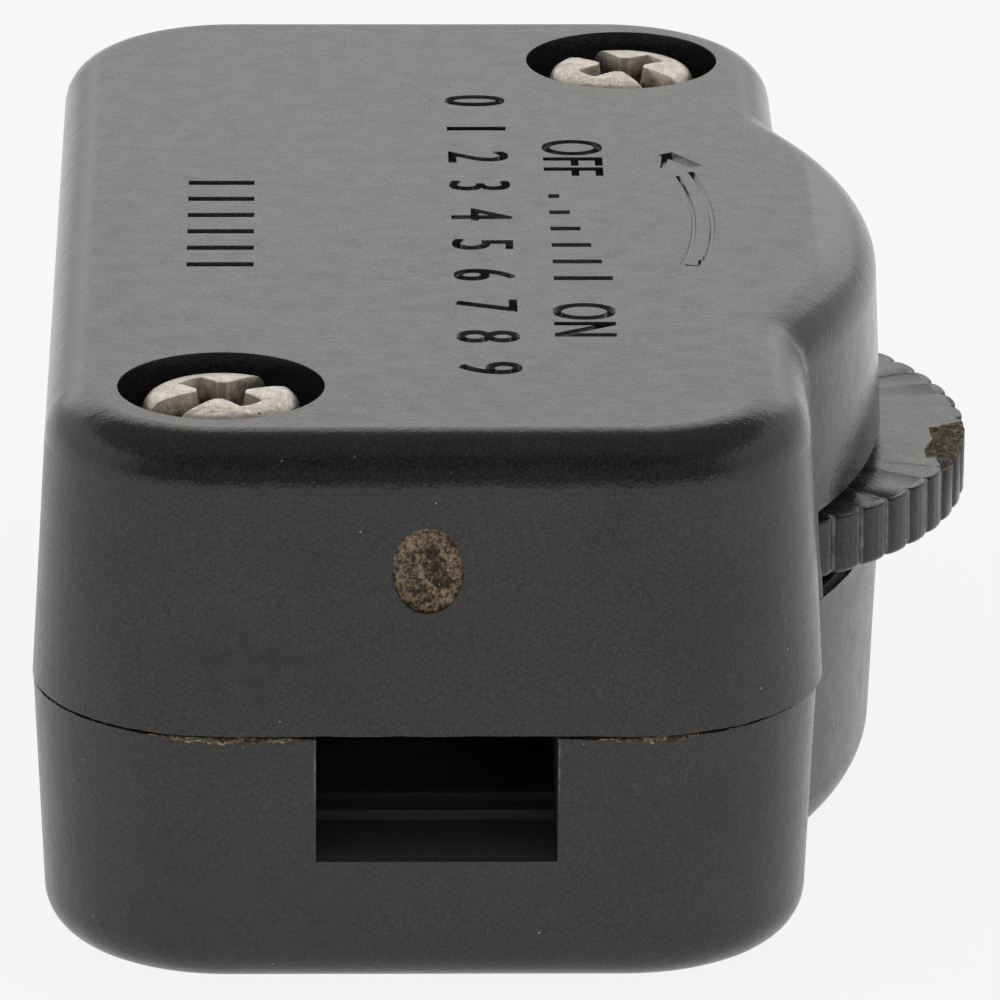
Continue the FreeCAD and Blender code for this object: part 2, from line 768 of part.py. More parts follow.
def make_switch_bridge():
    """Brass leaf riveted flat to the wheel: its two raised ends join the ring and the switch arc."""
    body = new_body("switch_bridge", x=WHEEL_X, z=WHEEL_TOP, turn="wheel_rest_angle + 180")
    leaf = new_sketch(body, "Leaf", plane="XZ_Plane")
    inner = "collector_inner_radius + collector_width / 4"
    outer = "switch_inner_radius + switch_width * 3 / 4"
    middle = f"(({inner} + {outer}) / 2)"
    seat_in = f"{middle} - bridge_seat / 2"
    seat_out = f"{middle} + bridge_seat / 2"
    low = f"{SPRING_RISE} - spring_thickness"
    draw_polygon(
        leaf,
        [
            (inner, low),
            (f"{inner} + spring_thickness", low),
            (seat_in, "0"),
            (seat_out, "0"),
            (f"{outer} - spring_thickness", low),
            (outer, low),
            (outer, SPRING_RISE),
            (f"{outer} - spring_thickness", SPRING_RISE),
            (f"{seat_out} - spring_thickness / 2", "spring_thickness"),
            (f"{seat_in} + spring_thickness / 2", "spring_thickness"),
            (f"{inner} + spring_thickness", SPRING_RISE),
            (inner, SPRING_RISE),
        ],
    )
    add_pad(body, leaf, "bridge_width", both_ways=True)
    return body


def add_board_outline(body, thickness):
    """A sheet that fits the hollow and leaves the screw bosses free."""
    outline = new_sketch(body, "Outline")
    draw_rounded_rectangle(outline, BOARD_WIDTH, BOARD_LENGTH, "board_corner")
    add_pad(body, outline, thickness)
    for x, y in screw_places():
        notch = new_sketch(body, "BossNotch", x=x, y=y)
        draw_circle(notch, "boss_radius + fit_clearance")
        add_pocket(body, notch, thickness, up=True)


def make_circuit_board():
    """Phenolic board with a lobe under the bulge, and holes for the pins and prongs."""
    body = new_body("circuit_board", z=BOARD_BOTTOM)
    add_board_outline(body, "board_thickness")
    lobe = new_sketch(body, "Lobe", x=WHEEL_X)
    draw_circle(lobe, "board_lobe_radius")
    add_pad(body, lobe, "board_thickness")
    round_holes = ((WHEEL_X, "0", "pin_radius - rivet_lip"), (*stop_place(), "stop_pin_radius"))
    for x, y, radius in round_holes:
        hole = new_sketch(body, "PinHole", x=x, y=y)
        draw_circle(hole, radius)
        add_pocket(body, hole, "board_thickness", up=True)
    for side in ("", "-"):
        slot = new_sketch(body, "ProngSlot", x=PRONG_X, y=f"{side}{SCREW_Y}")
        draw_rectangle(slot, "prong_thickness", "prong_width")
        add_pocket(body, slot, "board_thickness", up=True)
    return body


def make_insulator_card():
    """Card between the cord and the thumbwheel, with openings for posts and prongs."""
    body = new_body("insulator_card", z="lower_height")
    add_board_outline(body, "card_thickness")
    for x, y in post_places():
        hole = new_sketch(body, "PostHole", x=x, y=y)
        draw_circle(hole, "post_radius + fit_clearance")
        add_pocket(body, hole, "card_thickness", up=True)
    for side in ("", "-"):
        slot = new_sketch(body, "ProngSlot", x=PRONG_X, y=f"{side}{SCREW_Y}")
        draw_rectangle(slot, "prong_thickness + fit_clearance", "prong_width + fit_clearance")
        add_pocket(body, slot, "card_thickness", up=True)
    return body


def make_track(label, inner, width, angle, start):
    """A flat ring or part of a ring on the underside of the board, about the wheel's axis."""
    body = new_body(label, x=WHEEL_X, z=TRACK_FACE, turn=start)
    section = new_sketch(body, "Section", plane="XZ_Plane")
    outer = f"{inner} + {width}"
    draw_polygon(
        section,
        [(inner, "0"), (outer, "0"), (outer, "track_thickness"), (inner, "track_thickness")],
    )
    add_revolution(body, section, angle=angle)
    return body


def make_prong(label, side):
    """Brass blade that pierces one conductor; its shoulders seat under the board."""
    body = new_body(label, x=PRONG_X, y=f"{side}{SCREW_Y}", z=BOARD_BOTTOM)
    blade = new_sketch(body, "Blade", plane="YZ_Plane")
    half = "prong_width / 2"
    wide = "prong_width / 2 + prong_shoulder"
    tip = "-(board_rise + prong_reach)"
    neck = f"{tip} + prong_tip"
    top = "board_thickness + rivet_height"
    draw_polygon(
        blade,
        [
            ("0", tip),
            (half, neck),
            (half, "-prong_shoulder_height"),
            (wide, "-prong_shoulder_height"),
            (wide, "0"),
            (half, "0"),
            (half, top),
            (f"-({half})", top),
            (f"-({half})", "0"),
            (f"-({wide})", "0"),
            (f"-({wide})", "-prong_shoulder_height"),
            (f"-({half})", "-prong_shoulder_height"),
            (f"-({half})", neck),
        ],
    )
    add_pad(body, blade, "prong_thickness", both_ways=True)
    return body


def make_heat_sink():
    """Aluminium plate on the board with one edge turned up behind the triac."""
    body = new_body("heat_sink", x="heat_sink_x", y="heat_sink_y", z=BOARD_TOP)
    section = new_sketch(body, "Section", plane="YZ_Plane")
    front = "-heat_sink_length / 2"
    back = "heat_sink_length / 2"
    draw_polygon(
        section,
        [
            (front, "0"),
            (back, "0"),
            (back, "heat_sink_thickness + heat_sink_lip"),
            (f"{back} - heat_sink_thickness", "heat_sink_thickness + heat_sink_lip"),
            (f"{back} - heat_sink_thickness", "heat_sink_thickness"),
            (front, "heat_sink_thickness"),
        ],
    )
    add_pad(body, section, "heat_sink_width", both_ways=True)
    return body


def make_triac():
    """Flat moulded triac on the heat sink with three leads bent down to the board."""
    body = new_body("triac", x="heat_sink_x", y="heat_sink_y", z=f"{BOARD_TOP} + heat_sink_thickness")
    front = "(heat_sink_length / 2)"
    case = new_sketch(body, "Case", y=f"triac_length / 2 - {front}")
    draw_rectangle(case, "triac_width", "triac_length")
    add_pad(body, case, "triac_thickness")
    for step in (-1, 0, 1):
        lead = new_sketch(body, "Lead", plane="YZ_Plane", z=f"{step} * triac_lead_pitch")
        high = "triac_thickness / 2"
        low = "-heat_sink_thickness"
        turn = f"-{front} - triac_lead_run"
        draw_polygon(
            lead,
            [
                (f"triac_lead_width - {front}", high),
                (turn, high),
                (turn, low),
                (f"{turn} + triac_lead_width", low),
                (f"{turn} + triac_lead_width", f"{high} - triac_lead_width"),
                (f"triac_lead_width - {front}", f"{high} - triac_lead_width"),
            ],
        )
        add_pad(body, lead, "triac_lead_width", both_ways=True)
    return body


def make_capacitor():
    """Flat film capacitor with rounded edges."""
    beside_edge = f"capacitor_edge_gap + capacitor_length / 2 - {BOARD_WIDTH} / 2"
    body = new_body("capacitor", x=beside_edge, y="capacitor_y", z=BOARD_TOP)
    case = new_sketch(body, "Case")
    draw_rounded_rectangle(case, "capacitor_length", "capacitor_width", "capacitor_edge_radius")
    add_pad(body, case, "capacitor_height")
    add_fillet(body, "capacitor_edge_radius / 2", lies_at("capacitor_height"))
    return body


def draw_lead_path(sketch, pitch, height):
    """The path of a wire that stands on the board, bends over and comes down again."""
    half, top, bend = value(pitch) / 2, value(height), value("lead_bend")
    normal = FreeCAD.Vector(0, 0, 1)
    left_circle = Part.Circle(point(bend - half, top - bend), normal, bend)
    right_circle = Part.Circle(point(half - bend, top - bend), normal, bend)
    left = sketch.addGeometry(Part.LineSegment(point(-half, 0), point(-half, top - bend)))
    left_arc = sketch.addGeometry(Part.ArcOfCircle(left_circle, math.pi / 2, math.pi))
    across = sketch.addGeometry(Part.LineSegment(point(bend - half, top), point(half - bend, top)))
    right_arc = sketch.addGeometry(Part.ArcOfCircle(right_circle, 0, math.pi / 2))
    right = sketch.addGeometry(Part.LineSegment(point(half, top - bend), point(half, 0)))
    constrain(sketch, "Tangent", left, 2, left_arc, 2)
    constrain(sketch, "Tangent", left_arc, 1, across, 1)
    constrain(sketch, "Tangent", across, 2, right_arc, 2)
    constrain(sketch, "Tangent", right_arc, 1, right, 1)
    constrain(sketch, "Vertical", left)
    constrain(sketch, "Vertical", right)
    constrain(sketch, "Horizontal", across)
    constrain(sketch, "PointOnObject", left, 1, -1)
    constrain(sketch, "Symmetric", left, 1, right, 2, -1, 1)
    constrain(sketch, "Radius", left_arc, formula="lead_bend")
    constrain(sketch, "DistanceX", left, 1, right, 2, formula=pitch)
    constrain(sketch, "DistanceY", left, 1, across, 1, formula=height)


def make_axial_part(label, radius, length, pitch):
    """A round part lying on the board, on one wire that runs through it."""
    body = new_body(label, x=f"{label}_x", y=f"{label}_y", z=BOARD_TOP)
    height = f"({radius} + component_rise)"
    path = new_sketch(body, "LeadPath", plane="YZ_Plane")
    draw_lead_path(path, pitch, height)
    wire = new_sketch(body, "Wire", y=f"-{pitch} / 2")
    draw_circle(wire, "lead_radius")
    document.recompute()
    lead = body.newObject("PartDesign::AdditivePipe", "Lead")
    lead.Profile = wire
    lead.Spine = path
    document.recompute()
    case = new_sketch(body, "Case", plane="XZ_Plane", y=height)
    draw_circle(case, radius)
    add_pad(body, case, length, both_ways=True)
    return body


PIECES = [
    make_upper_shell(),
    make_lower_shell(),
    make_screw("screw_near", *screw_places()[0], "screw_near_angle"),
    make_screw("screw_far", *screw_places()[1], "screw_far_angle"),
    make_insert("insert_near", *screw_places()[0]),
    make_insert("insert_far", *screw_places()[1]),
    make_thumbwheel(),
    make_wheel_pin(),
    make_stop_pin(),
    make_wiper(),
    make_switch_bridge(),
    make_circuit_board(),
    make_insulator_card(),
    make_track("collector_ring", "collector_inner_radius", "collector_width", "360", "0"),
    make_track(
        "carbon_track", "carbon_inner_radius", "carbon_width", "carbon_angle", "carbon_start"
    ),
    make_track("switch_arc", "switch_inner_radius", "switch_width", "switch_angle", "switch_start"),
    make_prong("prong_front", "-"),
    make_prong("prong_back", ""),
    make_heat_sink(),
    make_triac(),
    make_capacitor(),
    make_axial_part("diac", "diac_radius", "diac_length", "diac_pitch"),
    make_axial_part("gate_resistor", "resistor_radius", "resistor_length", "resistor_pitch"),
    make_axial_part("bleed_resistor", "resistor_radius", "resistor_length", "resistor_pitch"),
]
document.recompute()

for item in document.Objects:
    if "Invalid" in item.State or "Error" in item.State:
        raise RuntimeError(f"{item.Label} did not build: {item.State}")
for piece in PIECES:
    if piece.Shape.isNull() or not piece.Shape.isValid():
        raise RuntimeError(f"{piece.Label} has no valid shape")

os.makedirs("parts", exist_ok=True)
for piece in PIECES:
    piece.Shape.exportStep(os.path.join("parts", piece.Label + ".step"))
    print(piece.Label, round(piece.Shape.Volume, 2), len(piece.Shape.Solids))
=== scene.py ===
import json
import math

import bmesh
import bpy
from mathutils import Matrix, Vector, noise
from mathutils.bvhtree import BVHTree
from mathutils.interpolate import poly_3d_calc


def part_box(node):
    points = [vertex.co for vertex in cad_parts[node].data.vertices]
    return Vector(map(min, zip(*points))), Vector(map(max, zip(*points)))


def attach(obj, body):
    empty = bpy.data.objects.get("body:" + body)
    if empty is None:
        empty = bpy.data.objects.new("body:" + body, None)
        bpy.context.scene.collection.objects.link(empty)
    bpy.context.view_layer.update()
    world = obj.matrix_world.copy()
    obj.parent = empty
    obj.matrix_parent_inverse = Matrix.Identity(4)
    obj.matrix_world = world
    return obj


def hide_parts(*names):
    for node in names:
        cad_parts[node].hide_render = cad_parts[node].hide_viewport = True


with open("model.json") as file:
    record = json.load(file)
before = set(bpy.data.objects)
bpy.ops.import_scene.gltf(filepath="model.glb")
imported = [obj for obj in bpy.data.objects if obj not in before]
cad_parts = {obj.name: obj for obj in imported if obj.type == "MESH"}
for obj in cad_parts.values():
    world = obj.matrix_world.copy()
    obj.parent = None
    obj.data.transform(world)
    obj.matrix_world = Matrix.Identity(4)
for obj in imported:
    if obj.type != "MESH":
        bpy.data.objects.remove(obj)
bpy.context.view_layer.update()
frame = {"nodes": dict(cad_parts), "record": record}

# Looks of the inline cord switch. Meshes are worked out in millimetres in the frame of the solids
# and scaled to metres when they are complete.
MM = 0.001


def box_mm(node):
    """Lowest and highest corner of a solid, in millimetres."""
    low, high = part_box(node)
    return Vector(low) / MM, Vector(high) / MM


UPPER_LOW, UPPER_HIGH = box_mm("upper_shell")
LOWER_LOW = box_mm("lower_shell")[0]
WHEEL_LOW, WHEEL_HIGH = box_mm("thumbwheel")
SEAM = UPPER_LOW.z
TOP = UPPER_HIGH.z
FRONT = UPPER_LOW.y
# How much the cover's near end leans back per millimetre of height.
DRAFT = math.tan(math.radians(3.2))
WHEEL_RADIUS = (WHEEL_HIGH.x - WHEEL_LOW.x) / 2
WHEEL_X = (WHEEL_HIGH.x + WHEEL_LOW.x) / 2
# The cord ports: their middle, half of their width and their lower edge.
PORT_X, PORT_HALF, PORT_BOTTOM = 0.26, 4.175, 4.78


def rim_levels():
    """Lowest and highest level of the wheel's rim, without its hub."""
    points = [vertex.co / MM for vertex in frame["nodes"]["thumbwheel"].data.vertices]
    levels = [p.z for p in points if math.hypot(p.x - WHEEL_X, p.y) > 0.95 * WHEEL_RADIUS]
    return min(levels), max(levels)


RIM_LOW, RIM_HIGH = rim_levels()
# The wheel's teeth, how wide each is along the rim, and the direction of a notch in degrees.
TEETH = 60
TOOTH = 1.4
NOTCH_ANGLE = 26.0


def set_input(node, name, setting):
    """Sets a socket that stays the same all over the surface."""
    node.inputs[name].default_value = setting


class Look:
    """A material whose colour, roughness and relief come from nodes, in millimetres of the object."""

    def __init__(self, name, metallic=0.0, ior=1.5):
        self.material = bpy.data.materials.new(name)
        self.material.use_nodes = True
        self.tree = self.material.node_tree
        self.shader = self.tree.nodes["Principled BSDF"]
        set_input(self.shader, "Metallic", metallic)
        set_input(self.shader, "IOR", ior)
        self.place = self.tree.nodes.new("ShaderNodeTexCoord").outputs["Object"]
        self.axes = None

    def node(self, kind, **settings):
        made = self.tree.nodes.new(kind)
        for name, setting in settings.items():
            setattr(made, name, setting)
        return made

    def link(self, output, target):
        self.tree.links.new(output, target)

    def grid(self, size, stretch=(1, 1, 1), offset=(0, 0, 0)):
        """Coordinates in which one unit is a length of that many millimetres."""
        mapping = self.node("ShaderNodeMapping")
        scale = [1 / (MM * size * s) for s in stretch]
        set_input(mapping, "Scale", scale)
        set_input(mapping, "Location", offset)
        self.link(self.place, mapping.inputs["Vector"])
        return mapping.outputs["Vector"]

    def axis(self, name):
        """The X, Y or Z coordinate in millimetres."""
        if not self.axes:
            self.axes = self.node("ShaderNodeSeparateXYZ")
            self.link(self.grid(1.0), self.axes.inputs[0])
        return self.axes.outputs[name]

    def noise(self, size, detail=3.0, roughness=0.5, stretch=(1, 1, 1), offset=(0, 0, 0)):
        """Cloudy noise whose patches are about that many millimetres across."""
        made = self.node("ShaderNodeTexNoise")
        set_input(made, "Scale", 1.0)
        set_input(made, "Detail", detail)
        set_input(made, "Roughness", roughness)
        self.link(self.grid(size, stretch, offset), made.inputs["Vector"])
        return made.outputs["Fac"]

    def cells(self, size, offset=(0, 0, 0)):
        """Distances to points scattered that many millimetres apart."""
        made = self.node("ShaderNodeTexVoronoi")
        set_input(made, "Scale", 1.0)
        self.link(self.grid(size, offset=offset), made.inputs["Vector"])
        return made.outputs["Distance"]

    def spread(self, fac, low, high, to_low=0.0, to_high=1.0):
        """Takes values from low to high to the range from to_low to to_high."""
        made = self.node("ShaderNodeMapRange", clamp=True)
        set_input(made, "From Min", low)
        set_input(made, "From Max", high)
        set_input(made, "To Min", to_low)
        set_input(made, "To Max", to_high)
        self.link(fac, made.inputs["Value"])
        return made.outputs["Result"]

    def mix(self, fac, first, second):
        """Mixes two colours, each a tuple or another node's output."""
        made = self.node("ShaderNodeMix", data_type="RGBA")
        self.link(fac, made.inputs["Factor"])
        for name, colour in (("A", first), ("B", second)):
            socket = next(s for s in made.inputs if s.name == name and s.type == "RGBA")
            if isinstance(colour, tuple):
                socket.default_value = (*colour, 1.0)
            else:
                self.link(colour, socket)
        return next(s for s in made.outputs if s.type == "RGBA")

    def reckon(self, operation, first, second=0.0):
        made = self.node("ShaderNodeMath", operation=operation)
        for number, part in enumerate((first, second)):
            if isinstance(part, (int, float)):
                made.inputs[number].default_value = part
            else:
                self.link(part, made.inputs[number])
        return made.outputs[0]

    def product(self, *parts):
        made = parts[0]
        for part in parts[1:]:
            made = self.reckon("MULTIPLY", made, part)
        return made

    def offset_from(self, name, middle):
        """Distance from a plane across an axis."""
        return self.reckon("ABSOLUTE", self.reckon("SUBTRACT", self.axis(name), middle))

    def patch(self, middle, half, edge):
        """A soft oval blotch: 1 in the middle, 0 outside, for the axes that half names."""
        total = 0.0
        for name, reach in half.items():
            part = self.reckon("DIVIDE", self.offset_from(name, middle[name]), reach)
            total = self.reckon("ADD", self.reckon("POWER", part, 2.0), total)
        return self.spread(total, 1.0 + edge, 1.0 - edge)

    def colour(self, output):
        self.link(output, self.shader.inputs["Base Color"])

    def roughness(self, output):
        self.link(output, self.shader.inputs["Roughness"])

    def relief(self, *layers, rounding=0.0):
        """Bumps, each a pair of a height output and its depth in millimetres, over rounded edges."""
        normal = None
        if rounding:
            bevel = self.node("ShaderNodeBevel", samples=6)
            set_input(bevel, "Radius", rounding * MM)
            normal = bevel.outputs["Normal"]
        for height, depth in layers:
            bump = self.node("ShaderNodeBump")
            set_input(bump, "Strength", 1.0)
            set_input(bump, "Distance", depth * MM)
            self.link(height, bump.inputs["Height"])
            if normal:
                self.link(normal, bump.inputs["Normal"])
            normal = bump.outputs["Normal"]
        self.link(normal, self.shader.inputs["Normal"])


def phenolic_tone(look, shade=1.0):
    """Black with faint grey, brown and green clouds and a few specks of dust."""
    dark = tuple(shade * c for c in (0.0105, 0.0105, 0.0112))
    light = tuple(shade * c for c in (0.021, 0.0205, 0.0195))
    brown = tuple(shade * c for c in (0.027, 0.0185, 0.015))
    green = tuple(shade * c for c in (0.016, 0.0175, 0.012))
    clouds = look.spread(look.noise(5.0, detail=4.0), 0.35, 0.65)
    stains = look.spread(look.noise(3.1, detail=3.0, offset=(7, 3, 5)), 0.52, 0.75, 0.0, 0.8)
    moss = look.spread(look.noise(2.2, detail=3.0, offset=(1, 8, 2)), 0.55, 0.75, 0.0, 0.7)
    tone = look.mix(moss, look.mix(stains, look.mix(clouds, dark, light), brown), green)
    grain = look.noise(0.1, detail=2.0, roughness=0.7, offset=(2, 9, 4))
    tone = look.mix(look.spread(grain, 0.5, 0.68, 0.0, 0.8), tone, (0.038, 0.036, 0.033))
    tone = look.mix(look.spread(grain, 0.5, 0.34, 0.0, 0.8), tone, (0.004, 0.004, 0.0045))
    dust = look.product(
        look.spread(look.cells(1.3), 0.036, 0.024, 0.0, 0.7),
        look.spread(look.noise(2.6, detail=1.0, offset=(4, 4, 9)), 0.46, 0.54),
    )
    return look.mix(dust, tone, (0.32, 0.31, 0.29))


# Roughness of the moulded faces, and of the cover's top edge and bulge.
SATIN, POLISHED = 0.27, 0.15


def grained(look, rough):
    """Gives a surface that roughness, a fine even grain and softer highlights at the edges."""
    grain = look.noise(0.11, detail=2.0, roughness=0.6)
    satin = look.noise(0.9, detail=3.0)
    fine = look.spread(grain, 0.3, 0.7, -0.05, 0.05)
    broad = look.spread(satin, 0.3, 0.7, -0.03, 0.03)
    both = look.reckon("ADD", fine, broad)
    look.roughness(look.reckon("ADD", both, rough))
    waves = look.noise(1.6, detail=2.0)
    peel = look.noise(0.33, detail=2.0, offset=(5, 5, 1))
    look.relief((waves, 0.02), (peel, 0.012), (grain, 0.011), rounding=0.05)


def stained(look, tone):
    """A dark smudge on the near end of the cover and brown grime low on the base."""
    blotches = look.spread(look.noise(0.8, detail=4.0, roughness=0.65, offset=(3, 1, 6)), 0.42, 0.62)
    smudge = look.patch({"X": -6.2, "Z": 12.1, "Y": FRONT}, {"X": 2.6, "Z": 1.6, "Y": 1.0}, 0.7)
    tone = look.mix(look.product(smudge, blotches, 0.85), tone, (0.006, 0.006, 0.0065))
    grime = look.patch({"X": -7.0, "Z": 2.8, "Y": LOWER_LOW.y}, {"X": 4.5, "Z": 2.4, "Y": 2.2}, 0.8)
    return look.mix(look.product(grime, blotches, 0.8), tone, (0.026, 0.021, 0.015))


def port_distance(look):
    """How far a point lies outside the port's opening, seen along the cord, in millimetres."""
    from_side = look.reckon("SUBTRACT", look.offset_from("X", PORT_X), PORT_HALF)
    from_foot = look.reckon("SUBTRACT", PORT_BOTTOM, look.axis("Z"))
    return look.reckon("MAXIMUM", from_side, from_foot)


def worn_rim(look, from_rim):
    """The base's edge around the port, where the cord has worn it pale."""
    below_seam = look.spread(look.axis("Z"), SEAM - 0.01, SEAM - 0.03)
    at_end = look.spread(look.offset_from("Y", 0.0), -LOWER_LOW.y - 0.12, -LOWER_LOW.y - 0.06)
    rim_line = look.product(look.spread(from_rim, 0.1, 0.03), look.spread(from_rim, -0.06, -0.02))
    uneven = look.spread(look.noise(0.35, detail=3.0), 0.4, 0.6, 0.1, 0.9)
    return look.product(rim_line, below_seam, at_end, uneven)


def in_channel(look, from_rim):
    """The walls of the cord channel, from just behind the ports."""
    return look.product(
        look.spread(from_rim, 0.35, 0.3),
        look.spread(look.axis("Z"), SEAM + 0.5, SEAM + 0.4),
        look.spread(look.offset_from("Y", 0.0), 25.4, 25.1),
    )


def on_top_edge(look):
    """The round between the cover's walls and its top."""
    above_walls = look.spread(look.axis("Z"), 18.15, 18.22)
    below_top = look.spread(look.axis("Z"), TOP - 0.03, TOP - 0.12)
    return look.product(above_walls, below_top)


def on_bulge(look):
    """The cover's bulge over the wheel."""
    return look.product(look.spread(look.axis("X"), 14.0, 14.3), look.spread(look.axis("Z"), 9.0, 9.5))


def shell_finish():
    """Moulded phenolic of both shells: matte faces, a glossier top edge with painted shade, smudges, wear
    at the port, and painted light in the cord channel.
    """
    look = Look("phenolic_shell")
    tone = stained(look, phenolic_tone(look))
    from_rim = port_distance(look)
    tone = look.mix(worn_rim(look, from_rim), tone, (0.14, 0.115, 0.09))
    within = in_channel(look, from_rim)
    on_edge = on_top_edge(look)
    # Painted shade: the round of the cover's top edge is darkened, deepening the dark band that the dim
    # ceiling reflects there.
    tone = look.mix(look.product(on_edge, 0.45), tone, (0.005, 0.005, 0.0065))
    # Painted light: the walls of the cord channel get a lighter, bluish colour that brightens the shade
    # inside the channel.
    look.colour(look.mix(within, tone, (0.032, 0.031, 0.04)))
    glossy = look.reckon("MAXIMUM", on_edge, on_bulge(look))
    satin = look.spread(glossy, 0.0, 1.0, SATIN, POLISHED)
    duller = look.spread(within, 0.0, 1.0, 0.0, 0.4)
    grained(look, look.reckon("ADD", satin, duller))
    return look.material


def notch_distance(look, aside):
    """How far around the rim the nearest notch is, in teeth; aside is the way from the axle along X."""
    turned = look.reckon("ARCTAN2", look.axis("Y"), aside)
    teeth = look.reckon("MULTIPLY", turned, TEETH / (2 * math.pi))
    # Whole teeth more keep the number above zero and leave the nearest notch where it is.
    whole_teeth = 40
    from_first = look.reckon("SUBTRACT", teeth, NOTCH_ANGLE * TEETH / 360 - whole_teeth)
    return look.reckon("PINGPONG", from_first, 0.5)


def wheel_finish():
    """Moulded phenolic of the wheel, with pale lines along the notches of its rim: partly wear, partly a
    painted highlight on the edges of the teeth.
    """
    look = Look("phenolic_wheel")
    tone = phenolic_tone(look, 1.15)
    aside = look.reckon("SUBTRACT", look.axis("X"), WHEEL_X)
    along = look.axis("Y")
    from_notch = notch_distance(look, aside)
    radius_squared = look.reckon("ADD", look.product(aside, aside), look.product(along, along))
    on_rim = look.spread(radius_squared, (WHEEL_RADIUS - 0.5) ** 2, (WHEEL_RADIUS - 0.4) ** 2)
    uneven = look.spread(look.noise(0.5, detail=3.0), 0.35, 0.6, 0.45, 1.0)
    # Pale lines at the notches: partly wear, partly a painted highlight where the tooth edges catch
    # light.
    worn = look.product(look.spread(from_notch, 0.075, 0.045), on_rim, uneven)
    look.colour(look.mix(worn, tone, (0.26, 0.25, 0.23)))
    grained(look, SATIN)
    return look.material


def nickel():
    """Nickel plating, scratched and slightly yellow, with brown grime deep in the recess."""
    look = Look("nickel_screw", metallic=1.0)
    tarnish = look.spread(look.noise(0.5, detail=4.0), 0.35, 0.7)
    plate = look.mix(tarnish, (0.76, 0.70, 0.63), (0.55, 0.49, 0.42))
    pits = look.product(
        look.spread(look.cells(0.4, offset=(2, 5, 1)), 0.16, 0.1),
        look.spread(look.noise(0.9, detail=1.0, offset=(6, 1, 3)), 0.5, 0.56),
    )
    plate = look.mix(pits, plate, (0.05, 0.04, 0.035))
    deep = look.spread(look.axis("Z"), TOP - 0.4, TOP - 1.0)
    worn = look.spread(look.noise(0.3, detail=4.0, roughness=0.65), 0.32, 0.58, 0.3, 1.0)
    look.colour(look.mix(look.product(deep, worn), plate, (0.09, 0.055, 0.035)))
    scratches = look.noise(0.22, detail=3.0, stretch=(0.3, 2.5, 1.0))
    look.roughness(look.spread(scratches, 0.3, 0.7, 0.38, 0.56))
    look.relief((look.noise(0.55, detail=4.0), 0.07), (scratches, 0.012), rounding=0.05)
    return look.material


def plain(name, base, roughness, metallic=0.0, variation=0.12, size=0.6):
    """A surface of one colour with slight clouds and a fine relief."""
    depth = 0.004
    look = Look(name, metallic=metallic)
    darker = tuple(c * (1 - variation) for c in base)
    clouds = look.noise(size)
    look.colour(look.mix(look.spread(clouds, 0.3, 0.7), base, darker))
    look.roughness(look.spread(look.noise(size / 3), 0.3, 0.7, roughness - 0.06, roughness + 0.06))
    look.relief((look.noise(size / 4), depth))
    return look.material


def torn(name, bright, dark, pits=(0.03, 0.017, 0.014), hollow=None):
    """Broken phenolic: rough, brown, with pale fibres and dark pits, most of them in the hollow."""
    look = Look(name, ior=1.45)
    grains = look.spread(look.noise(0.13, detail=3.0, roughness=0.7), 0.4, 0.6)
    clouds = look.noise(0.5, detail=4.0, roughness=0.65, offset=(2, 2, 2))
    if hollow:
        middle, half = hollow
        more_pits = look.spread(look.patch(middle, half, 0.6), 0.0, 1.0, -0.12, 0.07)
        clouds = look.reckon("ADD", clouds, more_pits)
    patches = look.spread(clouds, 0.47, 0.58, 0.0, 0.85)
    tone = look.mix(patches, look.mix(grains, dark, bright), pits)
    flecks = look.spread(look.noise(0.11, detail=1.0, offset=(8, 3, 1)), 0.68, 0.74, 0.0, 0.8)
    look.colour(look.mix(flecks, tone, (0.5, 0.42, 0.33)))
    look.roughness(look.spread(grains, 0.0, 1.0, 0.75, 0.95))
    look.relief((look.noise(0.14, detail=4.0, roughness=0.7), 0.08))
    return look.material


MATERIALS = {
    "shell": shell_finish(),
    "wheel": wheel_finish(),
    "screw": nickel(),
    "scar": torn(
        "torn_phenolic", (0.27, 0.195, 0.115), (0.035, 0.022, 0.014), (0.018, 0.011, 0.009),
        hollow=({"X": -0.12, "Z": 15.35}, {"X": 0.8, "Z": 0.95}),
    ),
    "wheel_scar": torn("torn_wheel", (0.2, 0.17, 0.115), (0.03, 0.025, 0.018), (0.04, 0.033, 0.025)),
    "chip": torn("chipped_phenolic", (0.44, 0.35, 0.24), (0.1, 0.07, 0.045)),
    "worn": plain("worn_phenolic", (0.06, 0.045, 0.038), 0.6, variation=0.7, size=0.9),
    # The brass prongs are much darker than brass: partly tarnish, partly painted shade that keeps them
    # dark inside the port.
    "brass": plain("brass", (0.1, 0.068, 0.035), 0.5, 1.0),
    "pin": plain("turned_steel", (0.62, 0.62, 0.63), 0.3, 1.0),
    "board": plain("phenolic_board", (0.36, 0.19, 0.07), 0.5),
    "card": plain("insulating_card", (0.2, 0.2, 0.18), 0.8),
    "carbon": plain("printed_carbon", (0.02, 0.02, 0.02), 0.6),
    "heat_sink": plain("aluminium", (0.72, 0.73, 0.74), 0.35, 1.0),
    "triac": plain("epoxy", (0.02, 0.02, 0.02), 0.55),
    "capacitor": plain("dipped_capacitor", (0.35, 0.04, 0.02), 0.25),
    "diac": plain("glass_bead", (0.5, 0.2, 0.06), 0.12),
    "resistor": plain("resistor_lacquer", (0.62, 0.48, 0.26), 0.35),
}
SLOT_OF = {row["node"]: row["material_slot"] for row in frame["record"]["subparts"]}


def dress_nodes():
    """Gives every solid that is shown as it is the material of its slot."""
    for name, node in frame["nodes"].items():
        node.data.materials.clear()
        node.data.materials.append(MATERIALS[SLOT_OF[name]])


